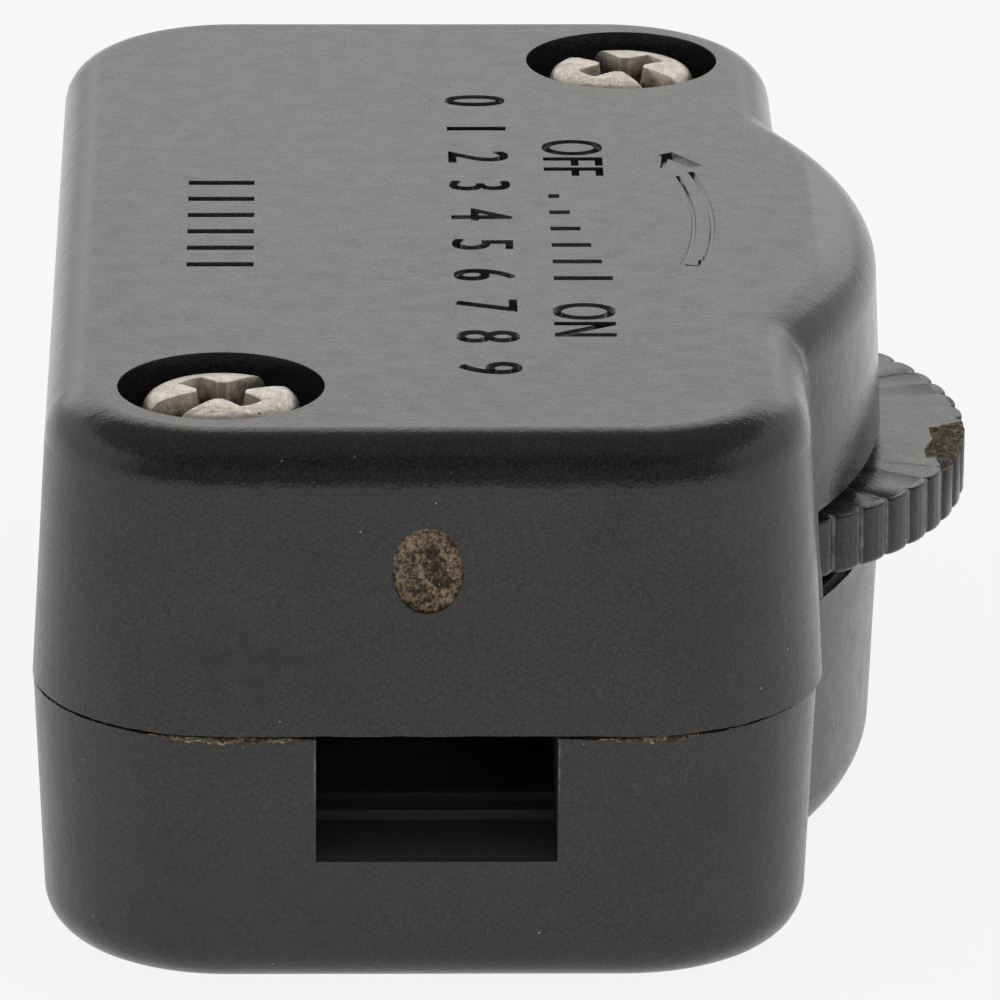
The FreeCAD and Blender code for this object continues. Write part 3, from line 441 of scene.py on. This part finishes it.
def from_bmesh(name, shape, material="shell"):
    """A mesh in millimetres as an object that modifiers can work on."""
    mesh = bpy.data.meshes.new(name)
    shape.to_mesh(mesh)
    shape.free()
    mesh.materials.append(MATERIALS[material])
    made = bpy.data.objects.new(name, mesh)
    bpy.context.scene.collection.objects.link(made)
    return made


def solid_copy(node, name, material="shell"):
    """A closed copy of a solid of the frame, in millimetres."""
    shape = bmesh.new()
    shape.from_mesh(frame["nodes"][node].data)
    bmesh.ops.scale(shape, vec=(1 / MM, 1 / MM, 1 / MM), verts=shape.verts)
    bmesh.ops.remove_doubles(shape, verts=shape.verts, dist=1e-4)
    return from_bmesh(name, shape, material)


def apply(piece):
    """Makes what the modifiers show the piece's own mesh."""
    shown = piece.evaluated_get(bpy.context.evaluated_depsgraph_get())
    mesh = bpy.data.meshes.new_from_object(shown)
    piece.modifiers.clear()
    piece.data = mesh


def combine(piece, tools, operation="DIFFERENCE"):
    """Cuts a piece with other solids, or keeps what is inside them, and removes them."""
    for tool in tools:
        step = piece.modifiers.new("combine", "BOOLEAN")
        step.operation = operation
        step.solver = "EXACT"
        step.material_mode = "TRANSFER"
        step.object = tool
    apply(piece)
    for tool in tools:
        bpy.data.objects.remove(tool)


# Limits by which a cut mesh is told apart from the solid that it was cut from: two lengths in
# millimetres, two areas in square millimetres, and the cosine between two ways of facing.
LEVEL_WITHIN = 0.002
ON_SURFACE = 0.004
SLIVER_AREA = 1e-4
BROAD_AREA = 0.5
SAME_WAY = 0.97


def is_level(mesh, face):
    """Whether all corners of a face are at the same height."""
    heights = [mesh.vertices[corner].co.z for corner in face.vertices]
    return max(heights) - min(heights) < LEVEL_WITHIN


def is_new(face, distance, facing):
    """Whether a face was made by a cut, by how far the solid's surface is from it and faces."""
    turned = facing.dot(face.normal) < SAME_WAY and face.area > SLIVER_AREA
    return distance > ON_SURFACE or turned


def blend_normals(mesh, face, corners, own, normals):
    """Gives a face the normals that blend those at the corners of the solid's face under it."""
    for loop in face.loop_indices:
        weights = poly_3d_calc(corners, mesh.vertices[mesh.loops[loop].vertex_index].co)
        blend = sum((normal * weight for normal, weight in zip(own, weights)), Vector())
        if blend.length > 0.5:
            normals[loop] = blend.normalized()


def keep_normals(mesh, node):
    """Shades what is left of a solid's own surface with its own normals, and broad new faces flat."""
    source = frame["nodes"][node].data
    places = [vertex.co / MM for vertex in source.vertices]
    surface = BVHTree.FromPolygons(places, [list(face.vertices) for face in source.polygons])
    normals = [corner.vector.copy() for corner in mesh.corner_normals]
    for face in mesh.polygons:
        facing, index, distance = surface.find_nearest(face.center)[1:]
        new = is_new(face, distance, facing)
        flat = None
        if is_level(mesh, face):
            flat = Vector((0, 0, math.copysign(1, face.normal.z)))
        elif new and face.area > BROAD_AREA:
            flat = face.normal.copy()
        if flat is not None:
            for loop in face.loop_indices:
                normals[loop] = flat
        elif not new:
            under = source.polygons[index]
            corners = [places[vertex] for vertex in under.vertices]
            own = [source.corner_normals[loop].vector for loop in under.loop_indices]
            blend_normals(mesh, face, corners, own, normals)
    mesh.normals_split_custom_set(normals)


def complete(piece, body, sharp=38.0, stands_for=(), cut_from=None):
    """Takes a piece from millimetres to the frame, shades it and lets it ride on its body."""
    mesh = piece.data
    mesh.polygons.foreach_set("use_smooth", [True] * len(mesh.polygons))
    mesh.set_sharp_from_angle(angle=math.radians(sharp))
    if cut_from:
        keep_normals(mesh, cut_from)
    mesh.transform(Matrix.Scale(MM, 4))
    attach(piece, body)
    if stands_for:
        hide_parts(*stands_for)


def stack(rings, closed=False):
    """A solid through rings of points; closed joins the last ring to the first."""
    shape = bmesh.new()
    rows = [[shape.verts.new(point) for point in ring] for ring in rings]
    pairs = list(zip(rows, rows[1:]))
    if closed:
        pairs.append((rows[-1], rows[0]))
    for lower, upper in pairs:
        for i, corner in enumerate(lower):
            j = (i + 1) % len(lower)
            shape.faces.new((corner, lower[j], upper[j], upper[i]))
    if not closed:
        shape.faces.new(list(reversed(rows[0])))
        shape.faces.new(rows[-1])
    bmesh.ops.recalc_face_normals(shape, faces=shape.faces)
    return shape


def ring(radii, height):
    """Points at those radii from the Z axis, evenly spaced around it."""
    step = 2 * math.pi / len(radii)
    return [(r * math.cos(i * step), r * math.sin(i * step), height) for i, r in enumerate(radii)]


def groove(path, width, depth):
    """Cutter of a groove with sloping sides along a path on the cover's top."""
    profile = ((-0.75, 0.5), (0.75, 0.5), (0.3, -1.0), (-0.3, -1.0))
    rings = []
    for i, (x, y) in enumerate(path):
        before = Vector(path[max(i - 1, 0)])
        after = Vector(path[min(i + 1, len(path) - 1)])
        along = (after - before).normalized()
        across = Vector((-along.y, along.x))
        wide = width[0] + (width[1] - width[0]) * i / (len(path) - 1)
        rings.append([
            (x + across.x * wide * side, y + across.y * wide * side, TOP + depth * rise)
            for side, rise in profile
        ])
    return from_bmesh("groove", stack(rings))


def arc(centre, radius, start, end):
    """Points of an arc between two directions in degrees."""
    count = 24
    angles = [math.radians(start + (end - start) * i / count) for i in range(count + 1)]
    return [(centre[0] + radius * math.cos(a), centre[1] + radius * math.sin(a)) for a in angles]


def arrow_cutters():
    """The bent arrow that shows which way the wheel dims: an outline of narrow grooves."""
    outer = arc((-14.7, -0.31), 25.18, 12.6, -11.1)
    inner = arc((-16.74, -0.07), 26.55, 10.3, -12.1)
    tip, right_barb, left_barb = (9.0, 7.38), (10.12, 5.84), (8.85, 5.69)
    return [
        groove(outer, (0.2, 0.14), 0.16),
        groove(inner, (0.12, 0.18), 0.16),
        groove([tip, right_barb], (0.52, 0.4), 0.2),
        groove([(9.03, 7.3), left_barb], (0.24, 0.14), 0.18),
        groove([(9.87, -5.16), (9.82, -5.82), (9.22, -5.68)], (0.1, 0.1), 0.1),
    ]


# How tall the engraved signs are, how deep they are cut, and how far each is cut beside its
# middle on either side, which makes its strokes bolder.
MARK_HEIGHT = 2.33
MARK_DEPTH = 0.24
MARK_BOLD = 0.085


def mark_cutter(words, place, squeeze):
    """Cutter of engraved signs that read from the far end to the near one, feet to the left."""
    share_of_size = 0.73
    curve = bpy.data.curves.new("mark", "FONT")
    curve.body = words
    curve.size = MARK_HEIGHT / share_of_size
    curve.space_character = 1.12
    curve.extrude = MARK_DEPTH
    curve.resolution_u = 5
    curve.align_x = "CENTER"
    letters = bpy.data.objects.new("mark", curve)
    bpy.context.scene.collection.objects.link(letters)
    shown = letters.evaluated_get(bpy.context.evaluated_depsgraph_get())
    mesh = bpy.data.meshes.new_from_object(shown)
    bpy.data.objects.remove(letters)
    stretch = Matrix.Diagonal((squeeze, 1, 1, 1))
    turn = Matrix.Rotation(-math.pi / 2, 4, "Z")
    mesh.transform(Matrix.Translation((place[0], place[1], TOP)) @ turn @ stretch)
    shape = bmesh.new()
    shape.from_mesh(mesh)
    bmesh.ops.remove_doubles(shape, verts=shape.verts, dist=1e-4)
    bmesh.ops.recalc_face_normals(shape, faces=shape.faces)
    return from_bmesh("mark_cutter", shape)


def mark_cutters():
    """Plain marks on the cover: a row of numbers, the ends of the wheel's travel, a scale and bars."""
    marks = [(str(n), 1.0 + 0.009 * n, 13.9 - 3.45 * n, 0.86) for n in range(10)]
    marks += [("OFF", 4.5, 6.9, 0.72), ("ON", 4.5, -11.9, 0.72)]
    signs = []
    for words, x, y, squeeze in marks:
        signs += [mark_cutter(words, (x, y + side * MARK_BOLD), squeeze) for side in (-1, 1)]
    steps = []
    for number in range(6):
        y = 2.3 - 1.9 * number
        steps.append(groove([(4.6, y), (5.0 + 0.34 * number, y)], (0.36, 0.36), 0.22))
    bars = []
    for number in range(6):
        y = 3.9 - 1.9 * number
        bars.append(groove([(-8.5, y), (-6.1, y)], (0.4, 0.4), 0.22))
    return signs + steps + bars


def front_level(z):
    """How far forward the cover's front face is at a height."""
    return FRONT + DRAFT * (z - SEAM)


# The torn sprue on the near end: its middle, half of its width and height, and its depth.
GATE = Vector((-0.09, front_level(15.42), 15.42))
GATE_HALF = (1.22, 1.53)
GATE_DEPTH = 0.42


def gate_outline(share=1.0):
    """The slightly uneven oval of the torn sprue, as offsets sideways and upwards."""
    steps = 72
    points = []
    for i in range(steps):
        a = 2 * math.pi * i / steps
        swing = 1 + 0.035 * noise.noise(Vector((1.6 * math.cos(a), 1.6 * math.sin(a), 4.2)))
        wide, tall = (half * share * swing for half in GATE_HALF)
        points.append((wide * math.cos(a), tall * math.sin(a)))
    return points


def on_front(side, rise, out):
    """A point of the front face beside the sprue, moved out of the face."""
    return (GATE.x + side, GATE.y + DRAFT * rise - out, GATE.z + rise + DRAFT * out)


def gate_cutter():
    """Cutter of the recess that the torn sprue left."""
    before_face = 0.4
    rings = [[on_front(s, r, out) for s, r in gate_outline()] for out in (-GATE_DEPTH, before_face)]
    return from_bmesh("gate_cutter", stack(rings))


def rough(x, y, seed, size):
    """Height of broken phenolic between about -1 and 1."""
    place = Vector((x / size, y / size, seed))
    return 0.6 * noise.noise(place) + 0.35 * noise.noise(place * 2.7) + 0.3 * noise.noise(place * 6.1)


def gate_scar():
    """The torn surface in the bottom of the sprue's recess."""
    shape = bmesh.new()
    rows = []
    count = 30
    for k in range(1, count + 1):
        share = k / count
        row = []
        for side, rise in gate_outline(share * 0.995):
            low_left = max(0.0, -0.7 * side - 0.7 * rise) / GATE_HALF[1]
            height = -0.1 + 0.2 * rough(side, rise, 3.7, 0.45) - 0.06 * (1 - share) - 0.16 * low_left
            row.append(shape.verts.new(on_front(side, rise, max(-0.4, min(height, -0.02)))))
        rows.append(row)
    for inner, outer in zip(rows, rows[1:]):
        for i, corner in enumerate(inner):
            j = (i + 1) % len(inner)
            shape.faces.new((corner, outer[i], outer[j], inner[j]))
    shape.faces.new(rows[0])
    bmesh.ops.recalc_face_normals(shape, faces=shape.faces)
    return from_bmesh("gate_scar", shape, "scar")


# Rays towards the walls start this far from the middle.
FAR_OUT = 60


def surface_of(node):
    """A solid's surface in metres, for rays to hit."""
    data = frame["nodes"][node].data
    places = [vertex.co for vertex in data.vertices]
    return BVHTree.FromPolygons(places, [list(face.vertices) for face in data.polygons])


def seam_path():
    """Points of the outer edge of the lower shell where it meets the upper one."""
    count = 900
    walls = surface_of("lower_shell")
    # Rays at the ports would pass into the channel, so the straight ends are taken as they are.
    end = -LOWER_LOW.y - 0.002
    past_port = 0.25
    points = []
    for i in range(count):
        a = 2 * math.pi * i / count
        aim = Vector((math.cos(a), math.sin(a), 0))
        if abs(aim.x) < past_port:
            point = aim * (end / abs(aim.y))
        else:
            start = aim * FAR_OUT
            start.z = SEAM - 0.02
            point = walls.ray_cast(start * MM, -aim)[0] / MM
        points.append(Vector((point.x, point.y)))
    return points


def chipping(x, y):
    """How badly the seam is chipped: most on the near end, on both sides of the port."""
    if y > -24:
        return 0.0
    left = min(1.0, 1.3 * max(0.0, 1 - abs(x + 6.8) / 3.1))
    right = 0.8 * min(1.0, 1.5 * max(0.0, 1 - abs(x - 7.6) / 2.2))
    return max(left, right)


# Which side of the groove's profile is the broken lip of the base.
BROKEN_SIDE = 2


def seam_profile(point):
    """The groove's profile at a point of the seam, outwards and upwards, and whether it is broken."""
    chipped = chipping(point.x, point.y)
    spot = Vector((point.x * 3.1, point.y * 3.1, 1.5))
    fine, coarse = noise.noise(spot * 1.6), noise.noise(spot * 0.45)
    gap = 0.075 + 0.025 * noise.noise(spot * 0.3) - 0.02 * chipped
    up = gap + 0.015 * fine
    lip = -gap - 0.01 * noise.noise(spot * 2.1)
    down = -lip + 0.008 + chipped * max(0.04, 0.15 + 0.2 * fine + 0.1 * coarse)
    corners = (
        (0.4, up), (0.4, -down * 1.3), (0.0, -down), (-0.03 - 0.17 * chipped, lip),
        (-0.4, -0.04), (-0.4, 0.04), (0.0, up),
    )
    broken = chipped > 0.12 or (point.y < -18 and coarse > 0.02)
    return corners, broken


def seam_cutter():
    """A ragged groove around the seam: a fine dark gap, and broken edges where it is chipped."""
    points = seam_path()
    rings = []
    broken_at = []
    for i, point in enumerate(points):
        along = (points[(i + 1) % len(points)] - points[i - 1]).normalized()
        out = Vector((along.y, -along.x))
        corners, broken = seam_profile(point)
        rings.append([(point.x + out.x * o, point.y + out.y * o, SEAM + h) for o, h in corners])
        broken_at.append(broken)
    cutter = from_bmesh("seam_cutter", stack(rings, closed=True), "shell")
    cutter.data.materials.append(MATERIALS["chip"])
    sides = len(rings[0])
    for face in cutter.data.polygons:
        number, side = divmod(face.index, sides)
        face.material_index = int(side == BROKEN_SIDE and broken_at[number])
    return cutter


def upper_shell():
    """The cover with its engraved marks, its arrow and the recess of the torn sprue."""
    cover = solid_copy("upper_shell", "cover")
    combine(cover, arrow_cutters() + mark_cutters() + [gate_cutter(), seam_cutter()])
    complete(cover, "housing", stands_for=("upper_shell",), cut_from="upper_shell")
    complete(gate_scar(), "housing", sharp=70)


def lower_shell():
    """The base with the chipped edge of its seam."""
    base = solid_copy("lower_shell", "base")
    combine(base, [seam_cutter()])
    complete(base, "housing", stands_for=("lower_shell",), cut_from="lower_shell")


def front_point(walls, x, z, out):
    """A point in front of the cover's near end, where the corners are already rounded too."""
    hit = walls.ray_cast(Vector((x, -FAR_OUT, z)) * MM, Vector((0, 1, 0)))[0]
    return (x, hit.y / MM - out, z)


def witness_lines():
    """The fine flash that the mould's insert left around the middle of the front face."""
    left, right, low, high = -8.97, 9.03, SEAM + 0.45, 18.16
    wide, proud, sunk = 0.03, 0.018, -0.02
    steps = 89
    walls = surface_of("upper_shell")
    runs = [((left, low), (left, high)), ((right, low), (right, high)), ((left, high), (right, high))]
    shape = bmesh.new()
    for (x0, z0), (x1, z1) in runs:
        side, up = (wide, 0) if x0 == x1 else (0, wide)
        rows = []
        for i in range(steps + 1):
            t = i / steps
            x, z = x0 + (x1 - x0) * t, z0 + (z1 - z0) * t
            rise = proud * (0.1 + 1.6 * abs(noise.noise(Vector((x * 1.3, z * 1.3, 7.7)))))
            corners = ((-side, -up, sunk), (0, 0, min(rise, proud)), (side, up, sunk))
            places = [front_point(walls, x + a, z + b, out) for a, b, out in corners]
            rows.append([shape.verts.new(place) for place in places])
        for first, second in zip(rows, rows[1:]):
            for i in (0, 1):
                shape.faces.new((first[i], first[i + 1], second[i + 1], second[i]))
    bmesh.ops.recalc_face_normals(shape, faces=shape.faces)
    complete(from_bmesh("witness_line", shape, "worn"), "housing", sharp=60)


# How much higher the screws' heads are domed than in the solids.
SCREW_CROWN = 0.2


def cross_recess(level):
    """The recess for a cross driver: four arms around a round heart, narrower towards its depth."""
    steps = 144
    arm, half, heart, depth = 1.7, 0.5, 0.85, 1.35
    outline = []
    for i in range(steps):
        from_arm = abs((2 * math.pi * i / steps + math.pi / 4) % (math.pi / 2) - math.pi / 4)
        straight = half / max(math.sin(from_arm), 0.05)
        outline.append(min(arm, max(straight, heart)))
    shares = ((1.08, 0.6), (1.0, -0.1), (0.8, -0.75 * depth), (0.35, -depth))
    return stack([ring([r * share for r in outline], level + rise) for share, rise in shares])


def full_slot(level):
    """The slot for a flat driver, which widens towards the head's rim."""
    end, waist = 3.4, 0.7
    plan = (
        (-end, -1.0), (-waist, -0.5), (waist, -0.5), (end, -1.0),
        (end, 1.0), (waist, 0.5), (-waist, 0.5), (-end, 1.0),
    )
    shares = ((0.8, -1.0), (1.05, 0.6))
    return stack([[(x, y * share, level + rise) for x, y in plan] for share, rise in shares])


def recess_cutters(level, centre, angle):
    """Cutters of a screw's cross recess and of its full slot, turned by an angle."""
    tools = []
    for shape in (cross_recess(level), full_slot(level)):
        tool = from_bmesh("recess_cutter", shape, "screw")
        tool.data.transform(Matrix.Translation(centre) @ Matrix.Rotation(math.radians(angle), 4, "Z"))
        tools.append(tool)
    return tools


def screw_profile(head, crown, seat, tip):
    """Radii and heights of a screw, from the crown of its head down to the tip of its shank."""
    shank, chamfer, edge = 1.5, 0.4, 0.62
    profile = [(0.02, crown), (0.45 * head, crown - 0.015), (0.7 * head, crown - 0.07)]
    for step in range(9):
        a = math.radians(80 - 10 * step)
        profile.append((head - edge + edge * math.cos(a), crown - 0.12 - edge + edge * math.sin(a)))
    return profile + [(head, seat), (shank, seat), (shank, tip + chamfer), (shank - chamfer, tip)]


def screw(node, angle):
    """A short screw with a rounded head and a recess for both kinds of driver."""
    low, high = box_mm(node)
    centre = ((low.x + high.x) / 2, (low.y + high.y) / 2, 0)
    head, head_height = (high.x - low.x) / 2, 2.0
    crown = high.z + SCREW_CROWN
    profile = screw_profile(head, crown, high.z - head_height, low.z)
    shape = stack([ring([radius] * 96, height) for radius, height in profile])
    bmesh.ops.translate(shape, vec=centre, verts=shape.verts)
    piece = from_bmesh(node + "_steel", shape, "screw")
    combine(piece, recess_cutters(crown, centre, angle))
    rounding = piece.modifiers.new("rounding", "BEVEL")
    rounding.width = 0.07
    rounding.segments = 2
    rounding.limit_method = "ANGLE"
    rounding.angle_limit = math.radians(38)
    apply(piece)
    complete(piece, "housing", sharp=50, stands_for=(node,))


def tooth_depth(from_notch, from_edge):
    """How far the rim is cut back, by the distance from a notch and from the nearer flat face."""
    notch = 0.2 * math.exp(-from_notch / 0.1)
    crown = 0.075 * (1 - from_notch / (TOOTH / 2)) ** 2
    flare = 0.1 * math.exp(-from_notch / 0.16) * max(0.0, 1 - from_edge / 0.4) ** 2
    return notch + crown + flare


def blank_levels():
    """Heights of the blank's rings from below the wheel to above it, each with how far it is inset."""
    low_round, high_round = 0.26, 0.1
    levels = [(WHEEL_LOW.z - 0.5, 0.5), (WHEEL_HIGH.z + 0.5, 0.4)]
    for step in range(6):
        a = math.radians(18 * step)
        levels.append((RIM_LOW + low_round * (1 - math.cos(a)), low_round * (1 - math.sin(a))))
        levels.append((RIM_HIGH - high_round * (1 - math.cos(a)), high_round * (1 - math.sin(a))))
    return sorted(set(levels))


def wheel_blank():
    """A toothed disc with softened edges that trims the wheel's rim."""
    half = (0.0, 0.04, 0.09, 0.16, 0.26, 0.42)
    places = half + (TOOTH / 2,) + tuple(TOOTH - p for p in reversed(half[1:]))
    pitch = 2 * math.pi / TEETH
    rings = []
    for z, inset in blank_levels():
        from_edge = min(max(RIM_HIGH - z, 0), max(z - RIM_LOW, 0))
        points = []
        for tooth in range(TEETH):
            for along in places:
                from_notch = min(along, TOOTH - along)
                radius = WHEEL_RADIUS - 0.01 - inset - tooth_depth(from_notch, from_edge)
                a = math.radians(NOTCH_ANGLE) + pitch * (tooth + along / TOOTH)
                points.append((WHEEL_X + radius * math.cos(a), radius * math.sin(a), z))
        rings.append(points)
    return from_bmesh("wheel_blank", stack(rings), "wheel")


# The broken patch on the wheel, seen from above, and its depth.
SCAR_OUTLINE = (
    (18.44, -0.66), (20.2, 0.42), (20.2, -1.3), (20.1, -3.0), (19.9, -4.7), (18.93, -5.2),
    (18.66, -4.84), (18.53, -3.92), (18.2, -3.9), (18.14, -3.11), (18.5, -1.9),
)
SCAR_DEPTH = 0.2


def scar_cutter():
    """Cutter of the recess that the broken patch lies in."""
    rings = [[(x, y, z) for x, y in SCAR_OUTLINE] for z in (RIM_HIGH - SCAR_DEPTH, RIM_HIGH + 0.3)]
    return from_bmesh("scar_cutter", stack(rings), "scar")


def inside(x, y, outline):
    """Whether a point lies within a closed outline."""
    found = False
    for (x0, y0), (x1, y1) in zip(outline, outline[1:] + outline[:1]):
        if (y0 > y) != (y1 > y) and x < x0 + (x1 - x0) * (y - y0) / (y1 - y0):
            found = not found
    return found


def wheel_scar():
    """The broken patch on the wheel's rim: a rough floor in the recess."""
    shape = bmesh.new()
    step = 0.05
    low_x, low_y, columns, rows = 18.0, -5.4, 42, 118
    grid = {}
    for i in range(columns):
        for j in range(rows):
            x, y = low_x + i * step, low_y + j * step
            if not inside(x, y, SCAR_OUTLINE) or math.hypot(x - WHEEL_X, y) > WHEEL_RADIUS - 0.16:
                continue
            height = -0.08 + 0.12 * rough(x, y, 8.3, 0.4)
            grid[i, j] = shape.verts.new((x, y, RIM_HIGH + min(height, -0.005)))
    for (i, j), corner in grid.items():
        others = [grid.get(key) for key in ((i + 1, j), (i + 1, j + 1), (i, j + 1))]
        if all(others):
            shape.faces.new((corner, *others))
    bmesh.ops.delete(shape, geom=[v for v in shape.verts if not v.link_faces], context="VERTS")
    return from_bmesh("wheel_scar", shape, "wheel_scar")


def thumbwheel():
    """The wheel with softly rounded teeth and the broken patch at its rim."""
    wheel = solid_copy("thumbwheel", "dimmer_wheel", "wheel")
    combine(wheel, [wheel_blank()], "INTERSECT")
    combine(wheel, [scar_cutter()])
    complete(wheel, "wheel", stands_for=("thumbwheel",), cut_from="thumbwheel")
    complete(wheel_scar(), "wheel", sharp=70)


def place_camera():
    """The photograph's camera: a long lens, low over the end with the cord port."""
    yaw, pitch, roll = (math.radians(a) for a in (1.081, 19.431, 0.306))
    target = Vector((2.828, -1.55, 9.630))
    distance = 413.482
    sensor = 36
    focal_in_sensors = 11.362025
    forward = Vector((math.sin(yaw) * math.cos(pitch), math.cos(yaw) * math.cos(pitch), -math.sin(pitch)))
    level = Vector((math.cos(yaw), -math.sin(yaw), 0))
    upright = level.cross(forward)
    right = math.cos(roll) * level + math.sin(roll) * upright
    up = math.cos(roll) * upright - math.sin(roll) * level
    data = bpy.data.cameras.new("camera")
    data.sensor_width = sensor
    data.lens = sensor * focal_in_sensors
    data.clip_start = 0.02
    data.clip_end = 20
    camera = bpy.data.objects.new("camera", data)
    turn = Matrix((right, up, -forward)).transposed().to_4x4()
    camera.matrix_world = Matrix.Translation((target - forward * distance) * MM) @ turn
    bpy.context.scene.collection.objects.link(camera)
    bpy.context.scene.camera = camera


def add_lamp(name, place, aim, size, power):
    """A rectangular soft box, in millimetres, that points at a place."""
    data = bpy.data.lights.new(name, "AREA")
    data.shape = "RECTANGLE"
    data.size = size[0] * MM
    data.size_y = size[1] * MM
    data.energy = power
    lamp = bpy.data.objects.new(name, data)
    direction = Vector(aim) - Vector(place)
    turn = direction.to_track_quat("-Z", "Y").to_matrix().to_4x4()
    lamp.matrix_world = Matrix.Translation(Vector(place) * MM) @ turn
    bpy.context.scene.collection.objects.link(lamp)


PALE = (0.93, 0.93, 0.93, 1)
WARM_WHITE = (1.0, 0.995, 0.955, 1)
# How bright reflections see the room: from the walls up to the ceiling, and from the front to the
# back. Each ramp has the two heights or depths of a direction and the level at either end.
CEILING_RAMP = ("Z", 0.5, 0.66, 0.78, 0.2)
FRONT_RAMP = ("Y", -0.7, -0.1, 0.18, 1.0)


def room_ramp(tree, split, axis, start, end, first, last):
    """A soft change of the room's level along an axis of the direction."""
    ramp = tree.nodes.new("ShaderNodeMapRange")
    ramp.interpolation_type = "SMOOTHSTEP"
    set_input(ramp, "From Min", start)
    set_input(ramp, "From Max", end)
    set_input(ramp, "To Min", first)
    set_input(ramp, "To Max", last)
    tree.links.new(split.outputs[axis], ramp.inputs["Value"])
    return ramp.outputs["Result"]


def shade_room(tree, room):
    """Makes the room darker overhead and in front of the object."""
    place = tree.nodes.new("ShaderNodeTexCoord").outputs["Generated"]
    split = tree.nodes.new("ShaderNodeSeparateXYZ")
    tree.links.new(place, split.inputs[0])
    level = tree.nodes.new("ShaderNodeMath")
    level.operation = "MULTIPLY"
    for number, ramp in enumerate((CEILING_RAMP, FRONT_RAMP)):
        tree.links.new(room_ramp(tree, split, *ramp), level.inputs[number])
    tree.links.new(level.outputs[0], room.inputs["Strength"])
    set_input(room, "Color", WARM_WHITE)


def light_studio():
    """A bright backdrop behind and beside the object, a dim ceiling and a dim room in front of it."""
    world = bpy.data.worlds.new("studio")
    bpy.context.scene.world = world
    world.use_nodes = True
    tree = world.node_tree
    room = tree.nodes["Background"]
    shade_room(tree, room)
    even = tree.nodes.new("ShaderNodeBackground")
    set_input(even, "Color", PALE)
    rays = tree.nodes.new("ShaderNodeLightPath")
    mix = tree.nodes.new("ShaderNodeMixShader")
    tree.links.new(rays.outputs["Is Glossy Ray"], mix.inputs["Fac"])
    tree.links.new(even.outputs[0], mix.inputs[1])
    tree.links.new(room.outputs[0], mix.inputs[2])
    tree.links.new(mix.outputs[0], tree.nodes["World Output"].inputs["Surface"])
    add_lamp("back_box", (0, 500, 260), (0, 0, 10), (700, 300), 0.42)


# Reflections see the floor grow dimmer between these places along Y, in front of the object.
FLOOR_DIMS = (-105.0, -150.0)
FLOOR_GLOW = 0.95


def floor_seen(look):
    """How much of the floor is its plain glow, by the kind of ray that looks at it."""
    rays = look.node("ShaderNodeLightPath")
    near_end = look.spread(look.axis("Y"), *FLOOR_DIMS, 1.0, 0.25)
    reflected = look.product(rays.outputs["Is Glossy Ray"], near_end)
    seen = look.reckon("MAXIMUM", rays.outputs["Is Camera Ray"], reflected)
    seen = look.reckon("MAXIMUM", seen, rays.outputs["Is Transmission Ray"])
    return look.reckon("MULTIPLY", seen, FLOOR_GLOW)


def floor_finish():
    """A matte pale surface, mixed with a glow of the same tone for the rays that look at it."""
    look = Look("pale_floor")
    set_input(look.shader, "Base Color", PALE)
    set_input(look.shader, "Roughness", 0.9)
    set_input(look.shader, "Specular IOR Level", 0.0)
    glow = look.node("ShaderNodeEmission")
    set_input(glow, "Color", PALE)
    set_input(glow, "Strength", 1.0)
    mix = look.node("ShaderNodeMixShader")
    look.link(floor_seen(look), mix.inputs["Fac"])
    look.link(look.shader.outputs[0], mix.inputs[1])
    look.link(glow.outputs[0], mix.inputs[2])
    look.link(mix.outputs[0], look.tree.nodes["Material Output"].inputs["Surface"])
    return look.material


def lay_floor():
    """A pale floor that keeps the object's soft shadow and looks as pale as it is to the camera."""
    mesh = bpy.data.meshes.new("floor")
    reach = 4.0
    corners = [(-reach, -reach, 0), (reach, -reach, 0), (reach, reach, 0), (-reach, reach, 0)]
    mesh.from_pydata(corners, [], [(0, 1, 2, 3)])
    floor = bpy.data.objects.new("floor", mesh)
    bpy.context.scene.collection.objects.link(floor)
    mesh.materials.append(floor_finish())


bpy.context.scene.view_settings.view_transform = "Standard"
dress_nodes()
upper_shell()
lower_shell()
witness_lines()
screw("screw_near", 41.0)
screw("screw_far", -54.0)
thumbwheel()
place_camera()
light_studio()
lay_floor()
